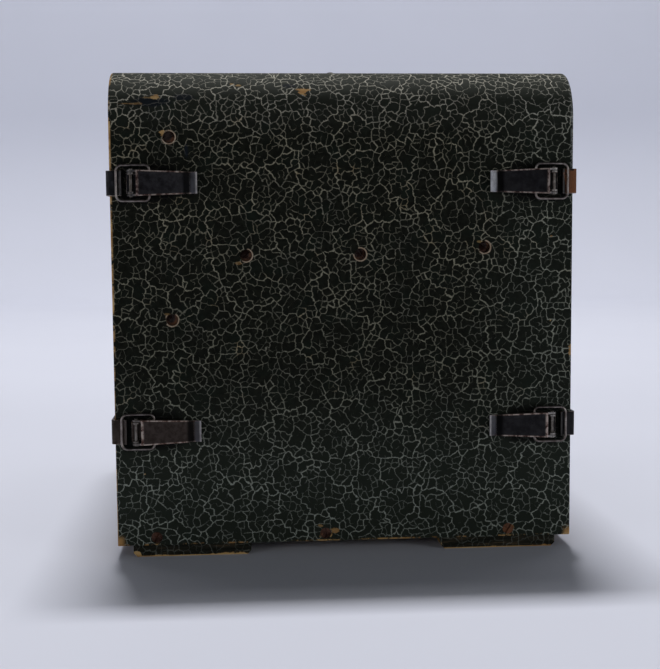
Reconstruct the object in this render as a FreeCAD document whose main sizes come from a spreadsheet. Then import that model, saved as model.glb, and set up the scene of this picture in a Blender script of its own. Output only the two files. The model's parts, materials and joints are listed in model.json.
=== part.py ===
"""Portable tube tester in a latched wooden carrying case.

The case stands on two skids. Its front cover is towards -X and its rear cover towards +X, each drawn
against the case by four latches on the side walls. Behind the front cover is the instrument panel, and on
a shelf behind the panel stands the mains transformer. The origin is on the ground under the middle of the
case, with +Z up, and every length is in millimetres.
"""
import FreeCAD
import Part
import Sketcher
import math
import os
import re

from FreeCAD import Placement, Rotation, Vector

SIZES = {
    # carrying case
    "case_depth": 300,
    "case_width": 360,
    "body_height": 308,
    "wall": 10,
    "corner_radius": 32,
    "edge_round": 1.5,
    "skid_height": 8,
    "skid_width": 77,
    "skid_inset": 10,
    "skid_setback": 2,
    "skid_chamfer": 2.5,
    # covers and the strips that stop them
    "cover_seat": 9,
    "cover_proud": 0.5,
    "cover_play": 0.6,
    "cover_clear": 0.3,
    "stop_width": 12,
    "stop_thick": 10,
    # strips and shelf that the wall screws hold
    "batten_depth": 16,
    "batten_width": 15,
    "shelf_thick": 12,
    "shelf_drop": 107.5,
    "shelf_gap": 11,
    # wood screws
    "head_width": 7.2,
    "head_height": 2.2,
    "shank_width": 3.8,
    "wall_screw_length": 16,
    "skid_screw_length": 11,
    "handle_screw_length": 8,
    "screw_play": 0.1,
    "sink_width": 7.8,
    "sink_depth": 2.6,
    "skid_sink": 2.4,
    "skid_screw_pitch": 150,
    "batten_screw_drop": 44,
    "batten_screw_rise": 147.5,
    "shelf_screw_front": 86,
    "shelf_screw_middle": 10,
    "shelf_screw_rear": 58.5,
    "shelf_screw_sag": 2,
    "edge_screw_front": 25.5,
    "edge_screw_middle": 14,
    "edge_screw_rear": 42,
    # draw latches
    "latch_drop": 73,
    "latch_rise": 75.5,
    "strap_width": 16,
    "strap_thick": 1.6,
    "strap_reach": 46,
    "strap_bend": 0.6,
    "lip_thick": 1.4,
    "lip_height": 1.6,
    "hook_play": 1.2,
    "wire_width": 1.6,
    "wire_lift": 0.6,
    "loop_width": 22.6,
    "loop_reach": 21,
    "loop_corner": 4,
    "loop_bend": 3,
    "loop_tail": 1.5,
    "crank": 11.5,
    "pivot_inset": 14,
    "pivot_rise": 4.4,
    "pin_width": 2.6,
    "pin_head": 0.6,
    "ear_round": 2.6,
    "ear_gap": 0.4,
    "base_thick": 1.2,
    "base_length": 29,
    "lever_width": 16.6,
    "lever_tip_width": 13.6,
    "lever_thick": 1.2,
    "plate_start": 3.4,
    "plate_rise": 3.6,
    "plate_fall": 0.9,
    "flange_length": 33.8,
    "tab_length": 7.9,
    "tab_dip": 1.5,
    "running_play": 0.06,
    # carrying handle
    "handle_span": 140,
    "handle_reach": 42,
    "handle_corner": 12,
    "handle_bend": 6,
    "rod_width": 6,
    "handle_pivot": 7,
    "lug_inset": 5,
    "lug_width": 9,
    "lug_length": 12,
    "crown_width": 9.6,
    "bracket_length": 40,
    "bracket_width": 15,
    "bracket_thick": 2,
    "handle_screw_pitch": 28,
    "grip_width": 13,
    "grip_length": 90,
    "grip_round": 3,
    # instrument panel
    "panel_recess": 27,
    "panel_thick": 3,
    "panel_play": 1,
    "hole_play": 0.3,
    # meter
    "meter_drop": 56,
    "can_width": 76,
    "can_wall": 1.5,
    "can_depth": 40,
    "meter_width": 90,
    "flange_thick": 3,
    "bezel_height": 8,
    "bezel_round": 3,
    "window_width": 70,
    "glass_thick": 2,
    "glass_lap": 1.5,
    "bezel_lip": 2,
    "dial_thick": 1,
    "dial_sink": 1,
    "dial_lap": 3.5,
    "needle_drop": 16,
    "needle_length": 38,
    "needle_width": 0.8,
    "needle_tip": 0.3,
    "needle_thick": 0.6,
    "needle_lift": 0.5,
    "hub_width": 5,
    "staff_width": 1.6,
    "staff_length": 6,
    # tube sockets
    "socket_rise": 138,
    "socket_margin": 46,
    "socket_width": 38,
    "socket_body": 29,
    "socket_depth": 12,
    "socket_flange": 2.4,
    "pin_circle": 18,
    "pin_hole": 3.4,
    "contact_wall": 0.5,
    "contact_tail": 5,
    "key_hole": 8,
    # selector switches and knobs
    "knob_rise": 64,
    "knob_margin": 70,
    "knob_width": 38,
    "grip_top": 26,
    "knob_height": 16,
    "skirt_height": 4.5,
    "knob_lift": 0.8,
    "knob_recess": 18,
    "knob_recess_height": 5,
    "knob_round": 2,
    "flute_width": 3.4,
    "shaft_width": 6,
    "shaft_end": 12.5,
    "shaft_sink": 9,
    "switch_width": 42,
    "switch_depth": 30,
    "bush_width": 10,
    "bush_height": 3.4,
    "nut_width": 15,
    "nut_height": 2.2,
    # small controls
    "control_inset": 58,
    "control_spacing": 40,
    "button_width": 14,
    "button_height": 7,
    "button_sit": 1.2,
    "stem_width": 7,
    "stem_length": 18,
    "well_play": 0.4,
    "well_depth": 4.5,
    "button_flange": 23,
    "button_flange_thick": 3,
    "button_body": 18,
    "button_body_depth": 14,
    "spring_wire": 0.8,
    "spring_gap": 0.15,
    "toggle_long": 28,
    "toggle_wide": 14,
    "toggle_deep": 24,
    "toggle_bush": 12,
    "toggle_bush_height": 7,
    "toggle_ball": 7,
    "toggle_pivot": 3,
    "toggle_root": 3,
    "toggle_tip": 4.6,
    "toggle_length": 10,
    "toggle_tilt": 12,
    "lamp_flange": 20,
    "lamp_flange_thick": 3,
    "lamp_body": 16,
    "lamp_depth": 22,
    "jewel_width": 14,
    "jewel_height": 8,
    "jewel_seat": 4,
    "inlet_flange": 34,
    "inlet_flange_thick": 3,
    "inlet_body": 27,
    "inlet_depth": 17,
    "inlet_wall": 1.8,
    "inlet_back": 3,
    "inlet_pin_width": 4,
    "inlet_pin_pitch": 11,
    "inlet_pin_length": 12,
    # mains transformer
    "core_length": 78,
    "core_height": 65,
    "core_stack": 40,
    "limb": 26,
    "yoke": 13,
    "coil_build": 11,
    "coil_play": 0.5,
    "coil_round": 7,
    "strap_metal": 1.5,
    "strap_broad": 24,
    "strap_foot": 14,
    "core_inset": 72,
}

SOCKET_PINS = (4, 5, 6, 7, 8)
KNOB_NAMES = ("line_knob", "filament_knob", "shunt_knob")
SHAFT_NAMES = ("line_shaft", "filament_shaft", "shunt_shaft")
FLUTES = 14
SPRING_TURNS = 3

doc = FreeCAD.newDocument("tube_tester")
sheet = doc.addObject("Spreadsheet::Sheet", "Sizes")
for row, (alias, value) in enumerate(SIZES.items(), 1):
    sheet.set(f"A{row}", str(value))
    sheet.setAlias(f"A{row}", alias)
doc.recompute()

HEADINGS = {
    "+X": Rotation(Vector(0, 1, 0), 90),
    "-X": Rotation(Vector(0, 1, 0), -90),
    "+Y": Rotation(Vector(1, 0, 0), -90),
    "-Y": Rotation(Vector(1, 0, 0), 90),
    "+Z": Rotation(),
}


def bound(text):
    """Write each size's name in an expression as a reference to its cell."""
    return re.sub(r"[a-z_]+", lambda word: "Sizes." + word[0] if word[0] in SIZES else word[0], str(text))


def number(text):
    """Work an expression out now, for the first drawing of a sketch."""
    return float(sheet.evalExpression(bound(text)))


def bind(thing, places):
    """Tie properties of an object to the sheet."""
    for place, text in places.items():
        thing.setExpression(place, bound(text))


def put(thing, spot, turn=None):
    """Place an object, with its position tied to the sheet."""
    thing.Placement = Placement(Vector(), turn or Rotation())
    bind(thing, {f"Placement.Base.{axis}": text for axis, text in zip("xyz", spot)})
    return thing


def block(name, x_span, y_span, z_span):
    """A box between the given limits."""
    box = doc.addObject("Part::Box", name)
    spans = (x_span, y_span, z_span)
    sides = zip(("Length", "Width", "Height"), spans)
    bind(box, {side: f"({high}) - ({low})" for side, (low, high) in sides})
    return put(box, [low for low, high in spans])


def rod(name, spot, heading, length, width):
    """A round bar of the given width that starts at a spot and runs one way."""
    bar = doc.addObject("Part::Cylinder", name)
    bind(bar, {"Radius": f"({width}) / 2", "Height": length})
    return put(bar, spot, HEADINGS[heading])


def merged(name, pieces):
    """One solid from pieces that touch."""
    whole = doc.addObject("Part::MultiFuse", name)
    whole.Shapes = list(pieces)
    whole.Refine = True
    return whole


def without(name, base, tool):
    """A base with a tool cut away."""
    left = doc.addObject("Part::Cut", name)
    left.Base = base
    left.Tool = tool
    return left


def common(name, first, second):
    """What two solids share."""
    shared = doc.addObject("Part::Common", name)
    shared.Base = first
    shared.Tool = second
    return shared


def group(name, pieces):
    """Separate solids kept together under one name."""
    bundle = doc.addObject("Part::Compound", name)
    bundle.Links = list(pieces)
    return bundle


def origin_part(body, role):
    """A plane or axis of a body's own origin."""
    return next(item for item in body.Origin.OriginFeatures if item.Role == role)


def sketch_on(body, plane, offset="0"):
    """A sketch on one of a body's own planes, moved along the plane's normal."""
    sketch = body.newObject("Sketcher::SketchObject", body.Name + "_sketch")
    sketch.AttachmentSupport = [(origin_part(body, plane), "")]
    sketch.MapMode = "FlatFace"
    bind(sketch, {"AttachmentOffset.Base.z": offset})
    return sketch


def pin_point(sketch, item, point, x_text, y_text):
    """Tie a point of a sketch to the sheet."""
    for kind, text in (("DistanceX", x_text), ("DistanceY", y_text)):
        index = sketch.addConstraint(Sketcher.Constraint(kind, -1, 1, item, point, number(text)))
        sketch.setExpression(f"Constraints[{index}]", bound(text))


def ring(sketch, x_text, y_text, width):
    """A circle of the given width."""
    circle = Part.Circle(Vector(number(x_text), number(y_text), 0), Vector(0, 0, 1), number(width) / 2)
    item = sketch.addGeometry(circle, False)
    pin_point(sketch, item, 3, x_text, y_text)
    index = sketch.addConstraint(Sketcher.Constraint("Radius", item, number(width) / 2))
    sketch.setExpression(f"Constraints[{index}]", bound(f"({width}) / 2"))


def round_corner(sketch, enter, leave, radius, turn):
    """A quarter arc between two square edges. A left turn runs forwards, a right turn backwards."""
    start, end = (enter, leave) if turn > 0 else (leave, enter)
    ends = [Vector(number(x), number(y), 0) for x, y in (start, end)]
    half_chord = (ends[1] - ends[0]) / 2
    centre = ends[0] + half_chord + Vector(-half_chord.y, half_chord.x, 0)
    first = math.atan2(ends[0].y - centre.y, ends[0].x - centre.x)
    circle = Part.Circle(centre, Vector(0, 0, 1), number(radius))
    item = sketch.addGeometry(Part.ArcOfCircle(circle, first, first + math.pi / 2), False)
    index = sketch.addConstraint(Sketcher.Constraint("Radius", item, number(radius)))
    sketch.setExpression(f"Constraints[{index}]", bound(radius))
    return (item, 1, item, 2) if turn > 0 else (item, 2, item, 1)


def outline(sketch, corners):
    """A closed outline through corners (x, y) or, between square edges, (x, y, radius)."""
    spots = [(number(corner[0]), number(corner[1])) for corner in corners]
    runs = []
    for index, corner in enumerate(corners):
        here = spots[index]
        before = spots[index - 1]
        after = spots[(index + 1) % len(spots)]
        if len(corner) == 2:
            runs.append((corner, corner, None, 0))
            continue
        ways = []
        for other in (before, after):
            gaps = [other[axis] - here[axis] for axis in (0, 1)]
            signs = [0 if abs(gap) < 1e-6 else int(math.copysign(1, gap)) for gap in gaps]
            ways.append(tuple(f"{corner[axis]} + ({signs[axis]}) * ({corner[2]})" for axis in (0, 1)))
        turn = (here[0] - before[0]) * (after[1] - here[1]) - (here[1] - before[1]) * (after[0] - here[0])
        runs.append((ways[0], ways[1], corner[2], turn))
    chain = []
    for index, (enter, leave, radius, turn) in enumerate(runs):
        if radius:
            chain.append(round_corner(sketch, enter, leave, radius, turn))
        start = leave
        end = runs[(index + 1) % len(runs)][0]
        ends = [Vector(number(x), number(y), 0) for x, y in (start, end)]
        item = sketch.addGeometry(Part.LineSegment(*ends), False)
        pin_point(sketch, item, 1, *start)
        chain.append((item, 1, item, 2))
    for one, two in zip(chain, chain[1:] + chain[:1]):
        sketch.addConstraint(Sketcher.Constraint("Coincident", one[2], one[3], two[0], two[1]))


def slab(name, plane, corners, span, rings=(), cutouts=()):
    """An outline with round holes and cut-outs, carried from one level to another across its plane."""
    body = doc.addObject("PartDesign::Body", name)
    low, high = span
    offset = f"-({high})" if plane == "XZ_Plane" else low
    sketch = sketch_on(body, plane, offset)
    if corners:
        outline(sketch, corners)
    for inner in cutouts:
        outline(sketch, inner)
    for circle in rings:
        ring(sketch, *circle)
    pad = body.newObject("PartDesign::Pad", name + "_pad")
    pad.Profile = sketch
    bind(pad, {"Length": f"({high}) - ({low})"})
    return body


def turned(name, corners):
    """A profile of (radius, height) corners turned about the body's own Z axis."""
    body = doc.addObject("PartDesign::Body", name)
    sketch = sketch_on(body, "XZ_Plane")
    outline(sketch, corners)
    spin = body.newObject("PartDesign::Revolution", name + "_turn")
    spin.Profile = sketch
    spin.ReferenceAxis = (origin_part(body, "Z_Axis"), [""])
    spin.Angle = 360
    return body


def bent_rod(name, width, span, reach, corner, bend, tail):
    """A rod bent to a U with its ends turned in, hinged on local Z, its bar at -reach along X.

    Straight runs are round bars and each bend is a quarter of a torus.
    """
    pieces = []
    half = f"({span}) / 2"
    straight = f"({span}) - 2 * ({corner})"
    pieces.append(rod(name + "_bar", (f"-({reach})", "0", f"{corner} - {half}"), "+Z", straight, width))
    for sign in (1, -1):
        leg_start = (f"{corner} - ({reach})", "0", f"{sign} * {half}")
        leg = f"({reach}) - ({corner}) - ({bend})"
        pieces.append(rod(f"{name}_leg_{sign}", leg_start, "+X", leg, width))
        low = f"{half} - ({bend}) - ({tail})" if sign > 0 else f"({bend}) - {half}"
        pieces.append(rod(f"{name}_end_{sign}", ("0", "0", low), "+Z", tail, width))
    quarters = (
        (corner, f"{corner} - ({reach})", f"{half} - ({corner})", 180),
        (corner, f"{corner} - ({reach})", f"({corner}) - {half}", 90),
        (bend, f"-({bend})", f"{half} - ({bend})", 270),
        (bend, f"-({bend})", f"({bend}) - {half}", 0),
    )
    for radius, along, across, turn in quarters:
        elbow = doc.addObject("Part::Torus", f"{name}_elbow_{turn}")
        elbow.Angle3 = 90
        bind(elbow, {"Radius1": radius, "Radius2": f"({width}) / 2"})
        put(elbow, (along, "0", across), HEADINGS["+Y"].multiply(Rotation(Vector(0, 0, 1), turn)))
        pieces.append(elbow)
    return merged(name, pieces)


# Places that several pieces share

HALF_DEPTH = "case_depth / 2"
HALF_WIDTH = "case_width / 2"
INNER_HALF = "(case_width / 2 - wall)"
FLOOR_TOP = "(skid_height + wall)"
CASE_TOP = "(skid_height + body_height)"
INNER_TOP = "(skid_height + body_height - wall)"
PANEL_FACE = "(panel_recess - case_depth / 2)"
PANEL_BACK = "(panel_recess + panel_thick - case_depth / 2)"
BATTEN_BACK = "(panel_recess + panel_thick + batten_depth - case_depth / 2)"
SHELF_END = "(case_depth / 2 - cover_seat - stop_width - shelf_gap)"
SHELF_MIDDLE = "(skid_height + body_height - wall - shelf_drop)"
SHELF_TOP = "(skid_height + body_height - wall - shelf_drop + shelf_thick / 2)"
WIRE_RISE = "(cover_proud + strap_thick + wire_lift + wire_width / 2)"
LOOP_PIN = "(pivot_inset + crank)"
METER_LEVEL = "(skid_height + body_height - wall - meter_drop)"
SOCKET_LEVEL = "(skid_height + wall + socket_rise)"
SOCKET_PITCH = "((case_width / 2 - wall - socket_margin) / 2)"
KNOB_LEVEL = "(skid_height + wall + knob_rise)"
KNOB_PITCH = "(case_width / 2 - wall - knob_margin)"
CONTROL_PLACE = "(case_width / 2 - wall - control_inset)"
SKID_MIDDLE = "(case_depth / 2 - skid_inset - skid_width / 2)"
LUG_MIDDLE = "(handle_span / 2 - handle_bend - lug_inset)"
HANDLE_AXIS = "(skid_height + body_height + handle_pivot)"
LEVER_LENGTH = "(flange_length + tab_length)"


def case_outline(inset, base):
    """The case's arched section, set in from its outer faces, down to a base level."""
    side = f"case_width / 2 - ({inset})"
    top = f"skid_height + body_height - ({inset})"
    bend = f"corner_radius - ({inset})"
    return [(f"-({side})", base), (side, base), (side, top, bend), (f"-({side})", top, bend)]


def screw(name, spot, heading, sink, length):
    """A wood screw's cheese head and shank, with the head's top sunk below the spot."""
    axis = "XYZ".index(heading[1])
    sign = 1 if heading[0] == "+" else -1
    start = list(spot)
    start[axis] = f"{spot[axis]} + {sign} * ({sink})"
    seat = list(spot)
    seat[axis] = f"{start[axis]} + {sign} * head_height"
    head = rod(name + "_head", start, heading, "head_height", "head_width")
    shank = rod(name + "_shank", seat, heading, length, "shank_width")
    return merged(name, (head, shank))


def screw_hole(name, spot, heading, sink, length, mouth):
    """The hole that a screw stands in: a mouth down to the head's seat and a hole for the shank."""
    axis = "XYZ".index(heading[1])
    sign = 1 if heading[0] == "+" else -1
    seat = list(spot)
    seat[axis] = f"{spot[axis]} + {sign} * ({sink} + head_height)"
    wide = rod(name + "_mouth", spot, heading, f"{sink} + head_height", mouth)
    deep = rod(name + "_bore", seat, heading, f"{length} + screw_play", "shank_width + 2 * screw_play")
    return merged(name, (wide, deep))


def wall_screws(name, places, sink, mouth):
    """Screws through both side walls at the same places, and the holes that they stand in."""
    screws = []
    holes = []
    for side, heading in ((-1, "+Y"), (1, "-Y")):
        for index, (x_text, z_text) in enumerate(places):
            tag = f"{name}_{'near' if side < 0 else 'far'}_{index}"
            spot = (x_text, f"{side} * {HALF_WIDTH}", z_text)
            screws.append(screw(tag, spot, heading, sink, "wall_screw_length"))
            holes.append(screw_hole(tag + "_hole", spot, heading, sink, "wall_screw_length", mouth))
    return screws, merged(name + "_holes", holes)


def build_case():
    """The arched wall, its bottom board, skids, inner strips and shelf, and the screws between them."""
    batten_middle = f"{PANEL_BACK} + batten_depth / 2"
    batten_places = (
        (batten_middle, f"{CASE_TOP} - batten_screw_drop"),
        (batten_middle, "skid_height + batten_screw_rise"),
    )
    shelf_places = (
        (f"shelf_screw_front - {HALF_DEPTH}", f"{SHELF_MIDDLE} - shelf_screw_sag"),
        ("shelf_screw_middle", f"{SHELF_MIDDLE} - shelf_screw_sag"),
        (f"{HALF_DEPTH} - shelf_screw_rear", f"{SHELF_MIDDLE} + shelf_screw_sag"),
    )
    edge_row = (f"edge_screw_front - {HALF_DEPTH}", "-edge_screw_middle", f"{HALF_DEPTH} - edge_screw_rear")
    edge_places = [(place, "skid_height + wall / 2") for place in edge_row]
    batten_screws, batten_holes = wall_screws("batten_screw", batten_places, "sink_depth", "sink_width")
    shelf_screws, shelf_holes = wall_screws("shelf_screw", shelf_places, "sink_depth", "sink_width")
    flush_mouth = "head_width + 2 * screw_play"
    edge_screws, edge_holes = wall_screws("edge_screw", edge_places, "0", flush_mouth)

    skid_screws = []
    skid_holes = []
    for end in (-1, 1):
        for row in (-1, 1):
            tag = f"skid_screw_{end}_{row}"
            spot = (f"{end} * {SKID_MIDDLE}", f"{row} * skid_screw_pitch / 2", "0")
            skid_screws.append(screw(tag, spot, "+Z", "skid_sink", "skid_screw_length"))
            hole = screw_hole(tag + "_hole", spot, "+Z", "skid_sink", "skid_screw_length", flush_mouth)
            skid_holes.append(hole)
    skid_holes = merged("skid_holes", skid_holes)

    arch = slab("arch", "YZ_Plane", case_outline("0", "skid_height"), (f"-{HALF_DEPTH}", HALF_DEPTH))
    doc.recompute()
    plain = arch.Tip
    rim = [f"Edge{index}" for index, edge in enumerate(plain.Shape.Edges, 1) if on_rim(edge)]
    soften = arch.newObject("PartDesign::Fillet", "arch_round")
    soften.Base = (plain, rim)
    bind(soften, {"Radius": "edge_round"})
    room_outline = case_outline("wall", "0")
    room = slab("room", "YZ_Plane", room_outline, (f"-{HALF_DEPTH} - wall", f"{HALF_DEPTH} + wall"))
    bare_shell = without("bare_shell", arch, room)
    handle_screws, handle_holes = handle_fixings()
    shell_holes = merged("shell_holes", (batten_holes, shelf_holes, edge_holes, handle_holes))
    shell = without("case_shell", bare_shell, shell_holes)

    depth = (f"-{HALF_DEPTH}", HALF_DEPTH)
    board = block("board_blank", depth, (f"-{INNER_HALF}", INNER_HALF), ("skid_height", FLOOR_TOP))
    board_holes = merged("board_holes", (edge_holes, skid_holes))
    bottom_board = without("bottom_board", board, board_holes)

    runners = [skid(end) for end in (-1, 1)]
    skids = without("skids", group("runners", runners), skid_holes)

    battens = []
    for side in (-1, 1):
        y_span = (f"{INNER_HALF} - batten_width", INNER_HALF)
        if side < 0:
            y_span = (f"-{INNER_HALF}", f"batten_width - {INNER_HALF}")
        z_span = (FLOOR_TOP, f"{CASE_TOP} - corner_radius")
        battens.append(block(f"batten_{side}", (PANEL_BACK, BATTEN_BACK), y_span, z_span))
    panel_battens = without("panel_battens", group("battens", battens), batten_holes)

    shelf_x = (BATTEN_BACK, SHELF_END)
    shelf_z = (f"{SHELF_MIDDLE} - shelf_thick / 2", SHELF_TOP)
    shelf = block("shelf_blank", shelf_x, (f"-{INNER_HALF}", INNER_HALF), shelf_z)
    chassis_shelf = without("chassis_shelf", shelf, shelf_holes)

    screws = batten_screws + shelf_screws + edge_screws + skid_screws + handle_screws
    wood_screws = group("wood_screws", screws)
    return [shell, bottom_board, skids, panel_battens, chassis_shelf, cover_stops(), wood_screws]


def on_rim(edge):
    """Whether an edge lies along the case's front or rear end, above the skids."""
    half = number(HALF_DEPTH)
    points = [vertex.Point for vertex in edge.Vertexes]
    at_end = all(abs(abs(point.x) - half) < 1e-6 for point in points)
    along = abs(points[0].x - points[-1].x) < 1e-6
    low = number("skid_height")
    return at_end and along and not all(abs(point.z - low) < 1e-6 for point in points)


def skid(end):
    """One flat runner, with its lower long edges planed off."""
    inner = f"{SKID_MIDDLE} - skid_width / 2"
    outer = f"{SKID_MIDDLE} + skid_width / 2"
    section = [
        (f"{end} * ({inner} + skid_chamfer)", "0"),
        (f"{end} * ({outer} - skid_chamfer)", "0"),
        (f"{end} * ({outer})", "skid_chamfer"),
        (f"{end} * ({outer})", "skid_height"),
        (f"{end} * ({inner})", "skid_height"),
        (f"{end} * ({inner})", "skid_chamfer"),
    ]
    reach = f"{HALF_WIDTH} - skid_setback"
    return slab(f"runner_{end}", "XZ_Plane", section, (f"-({reach})", reach))


def cover_stops():
    """Four strips inside each open end that the cover comes to rest against."""
    strips = []
    for end, tag in ((-1, "front"), (1, "rear")):
        near = f"{HALF_DEPTH} - cover_seat"
        far = f"{HALF_DEPTH} - cover_seat - stop_width"
        x_span = (far, near) if end > 0 else (f"-({near})", f"-({far})")
        bend_start = f"{CASE_TOP} - corner_radius"
        inner = f"{INNER_HALF} - stop_thick"
        flat = f"{HALF_WIDTH} - corner_radius"
        uprights = (FLOOR_TOP, bend_start)
        strips.append(block(f"{tag}_stop_near", x_span, (f"-{INNER_HALF}", f"-({inner})"), uprights))
        strips.append(block(f"{tag}_stop_far", x_span, (inner, INNER_HALF), uprights))
        sill = (FLOOR_TOP, f"{FLOOR_TOP} + stop_thick")
        strips.append(block(f"{tag}_stop_low", x_span, (f"-({inner})", inner), sill))
        head = (f"{INNER_TOP} - stop_thick", INNER_TOP)
        strips.append(block(f"{tag}_stop_high", x_span, (f"-({flat})", flat), head))
    return group("cover_stops", strips)


def build_covers():
    """The lift-off boards, standing a little proud of the case so that their straps clear it."""
    pieces = []
    for end, tag in ((-1, "front"), (1, "rear")):
        outside = f"{HALF_DEPTH} + cover_proud"
        inside = f"{HALF_DEPTH} - cover_seat + cover_clear"
        span = (inside, outside) if end > 0 else (f"-({outside})", f"-({inside})")
        board = case_outline("wall + cover_play", f"{FLOOR_TOP} + cover_play")
        pieces.append(slab(f"{tag}_cover", "YZ_Plane", board, span))
        pieces.append(group(f"{tag}_catches", [catch(latch) for latch in LATCHES if latch[0] == end]))
    return pieces


# Each latch: which end, which side wall, which level, and the turn from the latch's own axes to the case's.
# In its own axes X runs from the case's edge along the wall, Y out from the wall and Z along the hinge.

LATCHES = []
for level in ("latch_high", "latch_low"):
    LATCHES.append((-1, -1, level, Rotation(Vector(1, 0, 0), 180)))
    LATCHES.append((1, -1, level, Rotation(Vector(0, 0, 1), 180)))
    LATCHES.append((-1, 1, level, Rotation()))
    LATCHES.append((1, 1, level, Rotation(Vector(0, 1, 0), 180)))


def latch_name(latch):
    """Words for where a latch sits, such as front_near_high."""
    end, side, level, turn = latch
    return f"{'front' if end < 0 else 'rear'}_{'near' if side < 0 else 'far'}_{level[6:]}"


def latch_spot(latch, inset, rise):
    """A point of a latch, at an inset from the case's edge and a rise from its wall."""
    end, side, level, turn = latch
    along = f"{end} * ({HALF_DEPTH} - ({inset}))"
    out = f"{side} * ({HALF_WIDTH} + {rise})"
    height = f"{CASE_TOP} - latch_drop" if level == "latch_high" else "skid_height + latch_rise"
    return along, out, height


def on_latch(thing, latch, inset, rise):
    """Place a latch piece, turned to suit its latch."""
    end, side, level, turn = latch
    return put(thing, latch_spot(latch, inset, rise), turn)


def catch(latch):
    """A strap bent round the case's corner, with a rounded lip turned up at its end for the wire loop."""
    name = latch_name(latch) + "_catch"
    skin = "(cover_proud + strap_thick)"
    lip = f"({LOOP_PIN} - loop_reach + wire_width / 2 + hook_play)"
    lip_top = f"{skin} + lip_height"
    lip_round = "lip_thick * 0.49"
    bend = "strap_bend + strap_thick"
    section = [
        (f"-{skin}", "-strap_reach"),
        ("-cover_proud", "-strap_reach"),
        ("-cover_proud", "cover_proud", "strap_bend"),
        (f"{lip} + lip_thick", "cover_proud"),
        (f"{lip} + lip_thick", lip_top, lip_round),
        (lip, lip_top, lip_round),
        (lip, skin),
        (f"-{skin}", skin, bend),
    ]
    strap = slab(name, "XY_Plane", section, ("-strap_width / 2", "strap_width / 2"))
    return on_latch(strap, latch, "0", "0")


def latch_base(latch):
    """A plate on the wall with two ears for the lever's pin, about the pin's axis."""
    name = latch_name(latch) + "_base"
    half = "(lever_width / 2 - lever_thick - ear_gap)"
    start = "-(ear_round + base_thick / 2)"
    floor = ("-pivot_rise", "base_thick - pivot_rise")
    pieces = [block(name + "_plate", (start, f"{start} + base_length"), floor, (f"-{half}", half))]
    for sign in (-1, 1):
        across = (f"{half} - base_thick", half) if sign > 0 else (f"-{half}", f"base_thick - {half}")
        along = ("-ear_round", "ear_round")
        pieces.append(block(f"{name}_ear_{sign}", along, ("-pivot_rise", "0"), across))
        eye_start = ("0", "0", across[0])
        pieces.append(rod(f"{name}_eye_{sign}", eye_start, "+Z", "base_thick", "2 * ear_round"))
    bore_start = ("0", "0", f"-2 * {half}")
    bore = rod(name + "_bore", bore_start, "+Z", f"4 * {half}", "pin_width + 2 * running_play")
    base = without(name, merged(name + "_blank", pieces), bore)
    return on_latch(base, latch, "pivot_inset", "pivot_rise")


def latch_pin(latch):
    """The lever's hinge pin, riveted a little past the lever's flanges."""
    along, out, height = latch_spot(latch, "pivot_inset", "pivot_rise")
    half = "(lever_width / 2 + pin_head)"
    start = (along, out, f"{height} - {half}")
    return rod(latch_name(latch) + "_pin", start, "+Z", f"2 * {half}", "pin_width")


def lever(latch):
    """A tapered channel of sheet metal that turns on its pin, with a finger tab at its end."""
    name = latch_name(latch) + "_lever"
    tab_bend = "(flange_length + tab_length * 0.4)"
    tab_low = "(plate_fall - tab_dip)"
    side_view = [
        ("0", "-ear_round"),
        ("flange_length", "-ear_round"),
        ("flange_length", "plate_fall - lever_thick"),
        (tab_bend, f"{tab_low} - lever_thick"),
        (LEVER_LENGTH, "plate_fall - lever_thick"),
        (LEVER_LENGTH, "plate_fall"),
        (tab_bend, tab_low),
        ("flange_length", "plate_fall"),
        ("plate_start", "plate_rise"),
        ("plate_start", "ear_round"),
        ("0", "ear_round"),
    ]
    hollow_view = [
        ("-2 * ear_round", "-2 * ear_round"),
        ("flange_length", "-2 * ear_round"),
        ("flange_length", "plate_fall - lever_thick"),
        ("plate_start", "plate_rise - lever_thick"),
        ("plate_start", "2 * plate_rise"),
        ("-2 * ear_round", "2 * plate_rise"),
    ]
    through = "2 * lever_width"
    span = ("-lever_width", "lever_width")
    pin_spot = ("0", "0", "-lever_width")
    flank = slab(name + "_flank", "XY_Plane", side_view, span)
    heel = rod(name + "_heel", pin_spot, "+Z", through, "2 * ear_round")
    solid = common(name + "_solid", merged(name + "_long", (flank, heel)), taper(name + "_plan", "0", span))
    hollow_flank = slab(name + "_hollow", "XY_Plane", hollow_view, span)
    hollow = common(name + "_inside", hollow_flank, taper(name + "_inner_plan", "lever_thick", span))
    pin_bore = rod(name + "_bore", pin_spot, "+Z", through, "pin_width + 2 * running_play")
    wire_spot = ("crank", f"{WIRE_RISE} - pivot_rise", "-lever_width")
    wire_bore = rod(name + "_eye", wire_spot, "+Z", through, "wire_width + 2 * running_play")
    channel = without(name, solid, merged(name + "_tools", (hollow, pin_bore, wire_bore)))
    return on_latch(channel, latch, "pivot_inset", "pivot_rise")


def taper(name, inset, span):
    """The lever's plan, narrowing from its pin to its tab, set in for its inside."""
    heel = "-2 * ear_round"
    wide = f"(lever_width / 2 - {inset})"
    narrow = f"(lever_tip_width / 2 - {inset})"
    plan = [
        (heel, f"-{wide}"),
        ("0", f"-{wide}"),
        (LEVER_LENGTH, f"-{narrow}"),
        (LEVER_LENGTH, narrow),
        ("0", wide),
        (heel, wide),
    ]
    return slab(name, "XZ_Plane", plan, span)


def loop(latch):
    """The wire loop that hangs in the lever's flanges and hooks over the strap's lip."""
    name = latch_name(latch) + "_loop"
    narrowing = f"(lever_width - lever_tip_width) / 2 * crank / {LEVER_LENGTH}"
    flange = f"(lever_width / 2 - {narrowing})"
    tail = f"loop_width / 2 - loop_bend - {flange} + lever_thick + loop_tail"
    wire = bent_rod(name, "wire_width", "loop_width", "loop_reach", "loop_corner", "loop_bend", tail)
    return on_latch(wire, latch, LOOP_PIN, WIRE_RISE)


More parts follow.
